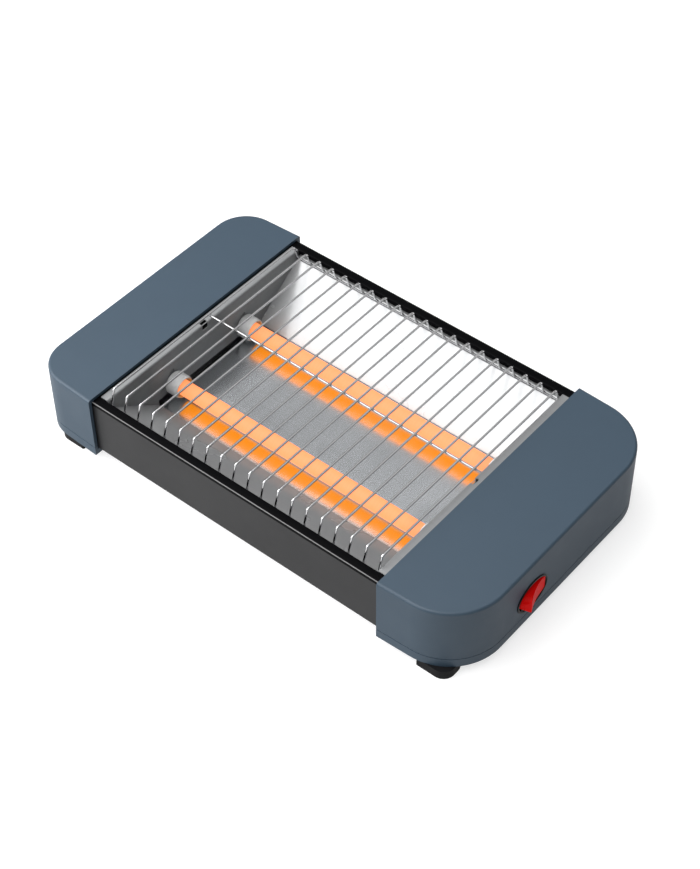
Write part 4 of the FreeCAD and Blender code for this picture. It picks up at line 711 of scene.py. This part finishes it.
class TOASTER_OT_rack(bpy.types.Operator):
    """Makes the bent cross wires, the long rods under them and the weld spots between"""
    bl_idname = "toaster.rack"
    bl_label = "Wire Rack"
    # Each rod's finish is the wires' plating darkened as painted shade.
    rods = {"centre_rod": "half_shaded_rod_plating", "front_rack_rod": "dark_shaded_rod_plating", "back_rack_rod": "dark_shaded_rod_plating"}

    def execute(self, context):
        sizes = context.scene.toaster_sizes
        self.make_wires(sizes)
        self.make_rods()
        self.make_welds(sizes)
        return {"FINISHED"}

    def wire_places(self, sizes):
        """The wires' places along X, evenly spaced."""
        first = float(RACK_LOW[0]) + sizes.wire_radius
        last = float(RACK_HIGH[0]) - sizes.wire_radius
        return np.linspace(first, last, sizes.wire_count)

    def wire_line(self, sizes):
        """The wire's centre line in its own plane: leg, bend, straight top, bend, leg.

        A bend starts radius * tan(half of its turn) from the corner that it rounds off.
        """
        leg_points = 5
        top_points = 16
        top = float(RACK_HIGH[2]) - sizes.wire_radius
        half = sizes.wire_span / 2
        foot = float(RACK_HIGH[1])
        rise = top - float(RACK_LOW[2])
        lean = math.atan2(foot - half - sizes.wire_radius, rise)
        low = float(RACK_LOW[2]) + sizes.wire_radius * math.sin(lean)
        sides = []
        for sign, radius in ((-1, sizes.front_bend), (1, sizes.back_bend)):
            reach = radius * math.tan((math.pi / 2 - lean) / 2)
            centre = (half - reach, top - radius)
            leg_top = (half + reach * math.sin(lean), top - reach * math.cos(lean))
            leg_foot = (leg_top[0] + (leg_top[1] - low) * math.tan(lean), low)
            leg = np.linspace(leg_foot, leg_top, leg_points)[:-1]
            bend = arc(centre, radius, math.degrees(lean), 90, steps=9)
            side = np.concatenate([leg, bend])
            side[:, 0] *= sign
            sides.append(side)
        front, back = sides
        middle = np.linspace(front[-1], back[-1], top_points)[1:-1]
        line = np.concatenate([front, middle, back[::-1]])
        return np.concatenate([np.zeros((len(line), 1)), line], 1)

    def make_wires(self, sizes):
        """One bent wire as a round tube, repeated at every wire's place."""
        path, radii = rounded_ends(self.wire_line(sizes), sizes.wire_radius)
        vertices, faces = tube_arrays(path, radii, (1, 0, 0), columns=16)
        places = self.wire_places(sizes)
        offsets = np.stack([places, np.zeros_like(places), np.zeros_like(places)], -1)
        many, joined = repeated(vertices, faces, offsets)
        piece = mesh_object("rack_cross_wires", many, joined, sharp_degrees=60)
        dress(piece, "body", "rack_chrome", finish("rack_chrome"), "cross_wires")

    def make_rods(self):
        """Straight round tubes along X, in their nodes' places."""
        stations = 41
        for word, plating in self.rods.items():
            low, high = node_box(word)
            middle = (low + high) / 2
            radius = float(high[2] - low[2]) / 2
            line = np.tile(middle, (stations, 1))
            line[:, 0] = np.linspace(float(low[0]), float(high[0]), stations)
            path, radii = rounded_ends(line, radius)
            vertices, faces = tube_arrays(path, radii, (0, 1, 0), columns=20)
            piece = mesh_object(f"rack_{word}", vertices, faces, sharp_degrees=60)
            dress(piece, "body", "rack_chrome", finish(plating), word)

    def weld_spot(self, radius, rows=5, columns=12):
        """A flattened ball: point (u, v) = (wide sin u cos v, wide sin u sin v, tall cos u)."""
        wide = radius * 1.1
        tall = radius * 0.55
        u = np.linspace(0, np.pi, rows + 2)[1:-1, None]
        v = np.linspace(0, 2 * np.pi, columns, endpoint=False)
        ball = np.stack([
            np.sin(u) * np.cos(v) * wide,
            np.sin(u) * np.sin(v) * wide,
            np.cos(u) * np.ones(columns) * tall,
        ], -1).reshape(-1, 3)
        count = rows * columns
        faces = strip_faces(rows, columns).tolist()
        faces += fan_faces(0, columns, count, False).tolist()
        faces += fan_faces(count - columns, columns, count + 1, True).tolist()
        return np.concatenate([ball, [[0, 0, tall], [0, 0, -tall]]]), faces

    def make_welds(self, sizes):
        """A weld spot on each rod's top, under each wire."""
        places = self.wire_places(sizes)
        ball, faces = self.weld_spot(sizes.weld_radius)
        spots = []
        for word in ("front_rack_rod", "centre_rod", "back_rack_rod"):
            low, high = node_box(word)
            row = np.tile((low + high) / 2, (len(places), 1))
            row[:, 0] = places
            row[:, 2] = high[2]
            spots.append(row)
        vertices, joined = repeated(ball, faces, np.concatenate(spots))
        piece = mesh_object("rack_welds", vertices, joined, sharp_degrees=60)
        dress(piece, "body", "rack_chrome", finish("rack_chrome"))


class TOASTER_OT_heaters(bpy.types.Operator):
    """Makes the glowing quartz tubes and finishes their coils, ceramic ends, clips and terminals"""
    bl_idname = "toaster.heaters"
    bl_label = "Heater Tubes"

    def execute(self, context):
        for word in ("front", "back"):
            self.make_tube(word)
            paint(f"{word}_heating_coil", finish("coil_wire"))
            for end in ("left", "right"):
                paint(f"{word}_{end}_ceramic", finish("tube_ceramic"))
        paint("ceramic_clips", finish("spring_steel"))
        paint("coil_terminals", finish("terminal_brass"))
        return {"FINISHED"}

    def make_tube(self, word):
        """A thick-walled tube with fire-polished ends, turned from its section."""
        wall = 1.2 * MM
        lip = wall / 2
        low, high = node_box(f"{word}_quartz_tube")
        outer = float(high[2] - low[2]) / 2
        end = float(high[0] - low[0]) / 2 - lip
        section = np.concatenate([
            np.linspace((-end, outer), (end, outer), 60),
            arc((end, outer - lip), lip, 80, -80, steps=7),
            np.linspace((end, outer - wall), (-end, outer - wall), 30),
            arc((-end, outer - lip), lip, 260, 100, steps=7),
        ])
        vertices, faces = turned_arrays(section, (low + high) / 2, columns=48)
        piece = mesh_object(f"{word}_heater_glass", vertices, faces, sharp_degrees=60)
        dress(piece, "body", "glowing_quartz", finish("glowing_quartz"), f"{word}_quartz_tube")


class TOASTER_OT_switch(bpy.types.Operator):
    """Finishes the rocker switch and its contacts"""
    bl_idname = "toaster.switch"
    bl_label = "Rocker Switch"

    def execute(self, context):
        paint("switch_housing", finish("bezel_plastic"))
        paint("switch_rocker", finish("rocker_red"))
        paint("switch_blades", finish("terminal_brass"))
        return {"FINISHED"}


class TOASTER_OT_inner_parts(bpy.types.Operator):
    """Finishes the cord gland, terminal block, thermal fuse and wires inside the right cap"""
    bl_idname = "toaster.inner_parts"
    bl_label = "Inner Parts"

    def execute(self, context):
        paint("cord_gland", finish("gland_rubber"))
        paint("terminal_block", finish("block_plastic"))
        paint("thermal_fuse", finish("fuse_metal"))
        paint("fuse_clip", finish("spring_steel"))
        paint("internal_leads", finish("lead_insulation"))
        return {"FINISHED"}


class TOASTER_OT_feet_and_screws(bpy.types.Operator):
    """Finishes the rubber feet and the screws"""
    bl_idname = "toaster.feet_and_screws"
    bl_label = "Feet and Screws"

    def execute(self, context):
        for side in ("front", "back"):
            for end in ("left", "right"):
                paint(f"{side}_{end}_foot", finish("foot_rubber"))
        for word in ("cap_screws", "chassis_screws", "panel_screws", "leg_screws"):
            paint(word, finish("screw_steel"))
        return {"FINISHED"}


class TOASTER_OT_stage(bpy.types.Operator):
    """Makes the floor, the studio lights and the camera"""
    bl_idname = "toaster.stage"
    bl_label = "Stage"
    # Each softbox's name, place and sides in metres, and power in watts; all are turned to the origin
    softboxes = (
        ("front_left_softbox", (-0.90, -0.76, 1.68), (3.2, 3.2), 108.0),
        ("low_left_softbox", (-0.62, -0.62, 0.30), (0.5, 0.4), 3.0),
        ("back_softbox", (-0.10, 1.40, 1.90), (5.2, 2.0), 9.5),
    )

    def execute(self, context):
        scene = context.scene
        self.make_floor()
        self.make_world(scene)
        self.make_softboxes(scene)
        self.make_camera(scene)
        scene.view_settings.view_transform = "Standard"
        scene.view_settings.look = "None"
        return {"FINISHED"}

    def light_by_path(self, tree, to_object, to_camera):
        """A grey light of one strength for the camera and another for all that it falls on."""
        path = node(tree, "ShaderNodeLightPath")
        return blend_colours(tree, path.outputs["Is Camera Ray"], (to_object,) * 3, (to_camera,) * 3)

    def make_floor(self):
        """A pale square at the feet's height, shining enough to stay white but for contact shadows."""
        reach = 12.0
        corners = np.array([[-reach, -reach, 0], [reach, -reach, 0], [reach, reach, 0], [-reach, reach, 0]])
        floor = mesh_object("floor", corners, [[0, 1, 2, 3]])
        material, tree, shader = blank(
            "pale_floor", Roughness=0.9, Specular_IOR_Level=0.0, Emission_Strength=0.71,
            Base_Color=(0.42, 0.42, 0.42, 1))
        wire_up(tree, self.light_by_path(tree, 0.50, 1.0), shader.inputs["Emission Color"])
        coat(floor, material)

    def make_world(self, scene):
        """A plain room, darker in reflections than behind the object."""
        world = bpy.data.worlds.new("studio")
        world.use_nodes = True
        tree = world.node_tree
        wire_up(tree, self.light_by_path(tree, 0.20, 0.74), tree.nodes["Background"].inputs["Color"])
        scene.world = world

    def make_softboxes(self, scene):
        """Square and oblong lights, each turned to the object."""
        for name, place, sides, power in self.softboxes:
            data = bpy.data.lights.new(name, "AREA")
            data.shape = "RECTANGLE"
            data.size, data.size_y = sides
            data.energy = power
            light = bpy.data.objects.new(name, data)
            light.location = place
            light.rotation_euler = (-Vector(place)).to_track_quat("-Z", "Y").to_euler()
            scene.collection.objects.link(light)

    def make_camera(self, scene):
        """The photograph's view: its angles, and its place in gauge units from the point that it aims at.

        A gauge unit is the length that the view was worked out in. The focal length is in pixels of a
        frame whose longer side is frame_side.
        """
        azimuth, elevation, roll = (math.radians(angle) for angle in (39.792, 46.572, 0.535))
        distance, aside, below = 1439.776, -10.633, 9.986
        gauge_unit = 0.9556 * MM
        aim = Vector((-8.995 * MM, 0, 7.2 * MM))
        focal_length = 1935.032
        frame_side = 869.0
        sensor = 36.0
        back = Vector((
            math.sin(azimuth) * math.cos(elevation),
            -math.cos(azimuth) * math.cos(elevation),
            math.sin(elevation),
        ))
        right = Vector((0, 0, 1)).cross(back).normalized()
        up = back.cross(right)
        turned_right = right * math.cos(roll) - up * math.sin(roll)
        turned_up = right * math.sin(roll) + up * math.cos(roll)
        place = (back * distance - turned_right * aside + turned_up * below) * gauge_unit + aim
        data = bpy.data.cameras.new("view")
        data.lens = sensor * focal_length / frame_side
        data.sensor_width = sensor
        data.clip_start = 0.01
        data.clip_end = 50.0
        camera = bpy.data.objects.new("view", data)
        axes = Matrix((turned_right, turned_up, back)).transposed()
        camera.matrix_world = Matrix.Translation(place) @ axes.to_4x4()
        scene.collection.objects.link(camera)
        scene.camera = camera


STEPS = (
    TOASTER_OT_end_caps,
    TOASTER_OT_body_sheets,
    TOASTER_OT_chamber,
    TOASTER_OT_rack,
    TOASTER_OT_heaters,
    TOASTER_OT_switch,
    TOASTER_OT_inner_parts,
    TOASTER_OT_feet_and_screws,
    TOASTER_OT_stage,
)


class TOASTER_PT_sidebar(bpy.types.Panel):
    """Lists the toaster's sizes, colours and steps"""
    bl_label = "Flat Toaster"
    bl_idname = "TOASTER_PT_sidebar"
    bl_space_type = "VIEW_3D"
    bl_region_type = "UI"
    bl_category = "Toaster"

    def draw(self, context):
        for group in (context.scene.toaster_sizes, context.scene.toaster_colours):
            for key in group.bl_rna.properties.keys():
                if key not in ("rna_type", "name"):
                    self.layout.prop(group, key)
        for step in STEPS:
            self.layout.operator(step.bl_idname)


CLASSES = (ToasterSizes, ToasterColours) + STEPS + (TOASTER_PT_sidebar,)


def register():
    for kind in CLASSES:
        bpy.utils.register_class(kind)
    bpy.types.Scene.toaster_sizes = bpy.props.PointerProperty(type=ToasterSizes)
    bpy.types.Scene.toaster_colours = bpy.props.PointerProperty(type=ToasterColours)


def unregister():
    del bpy.types.Scene.toaster_colours
    del bpy.types.Scene.toaster_sizes
    for kind in reversed(CLASSES):
        bpy.utils.unregister_class(kind)


def main():
    register()
    for step in STEPS:
        group, name = step.bl_idname.split(".")
        getattr(getattr(bpy.ops, group), name)()


if __name__ == "__main__":
    main()
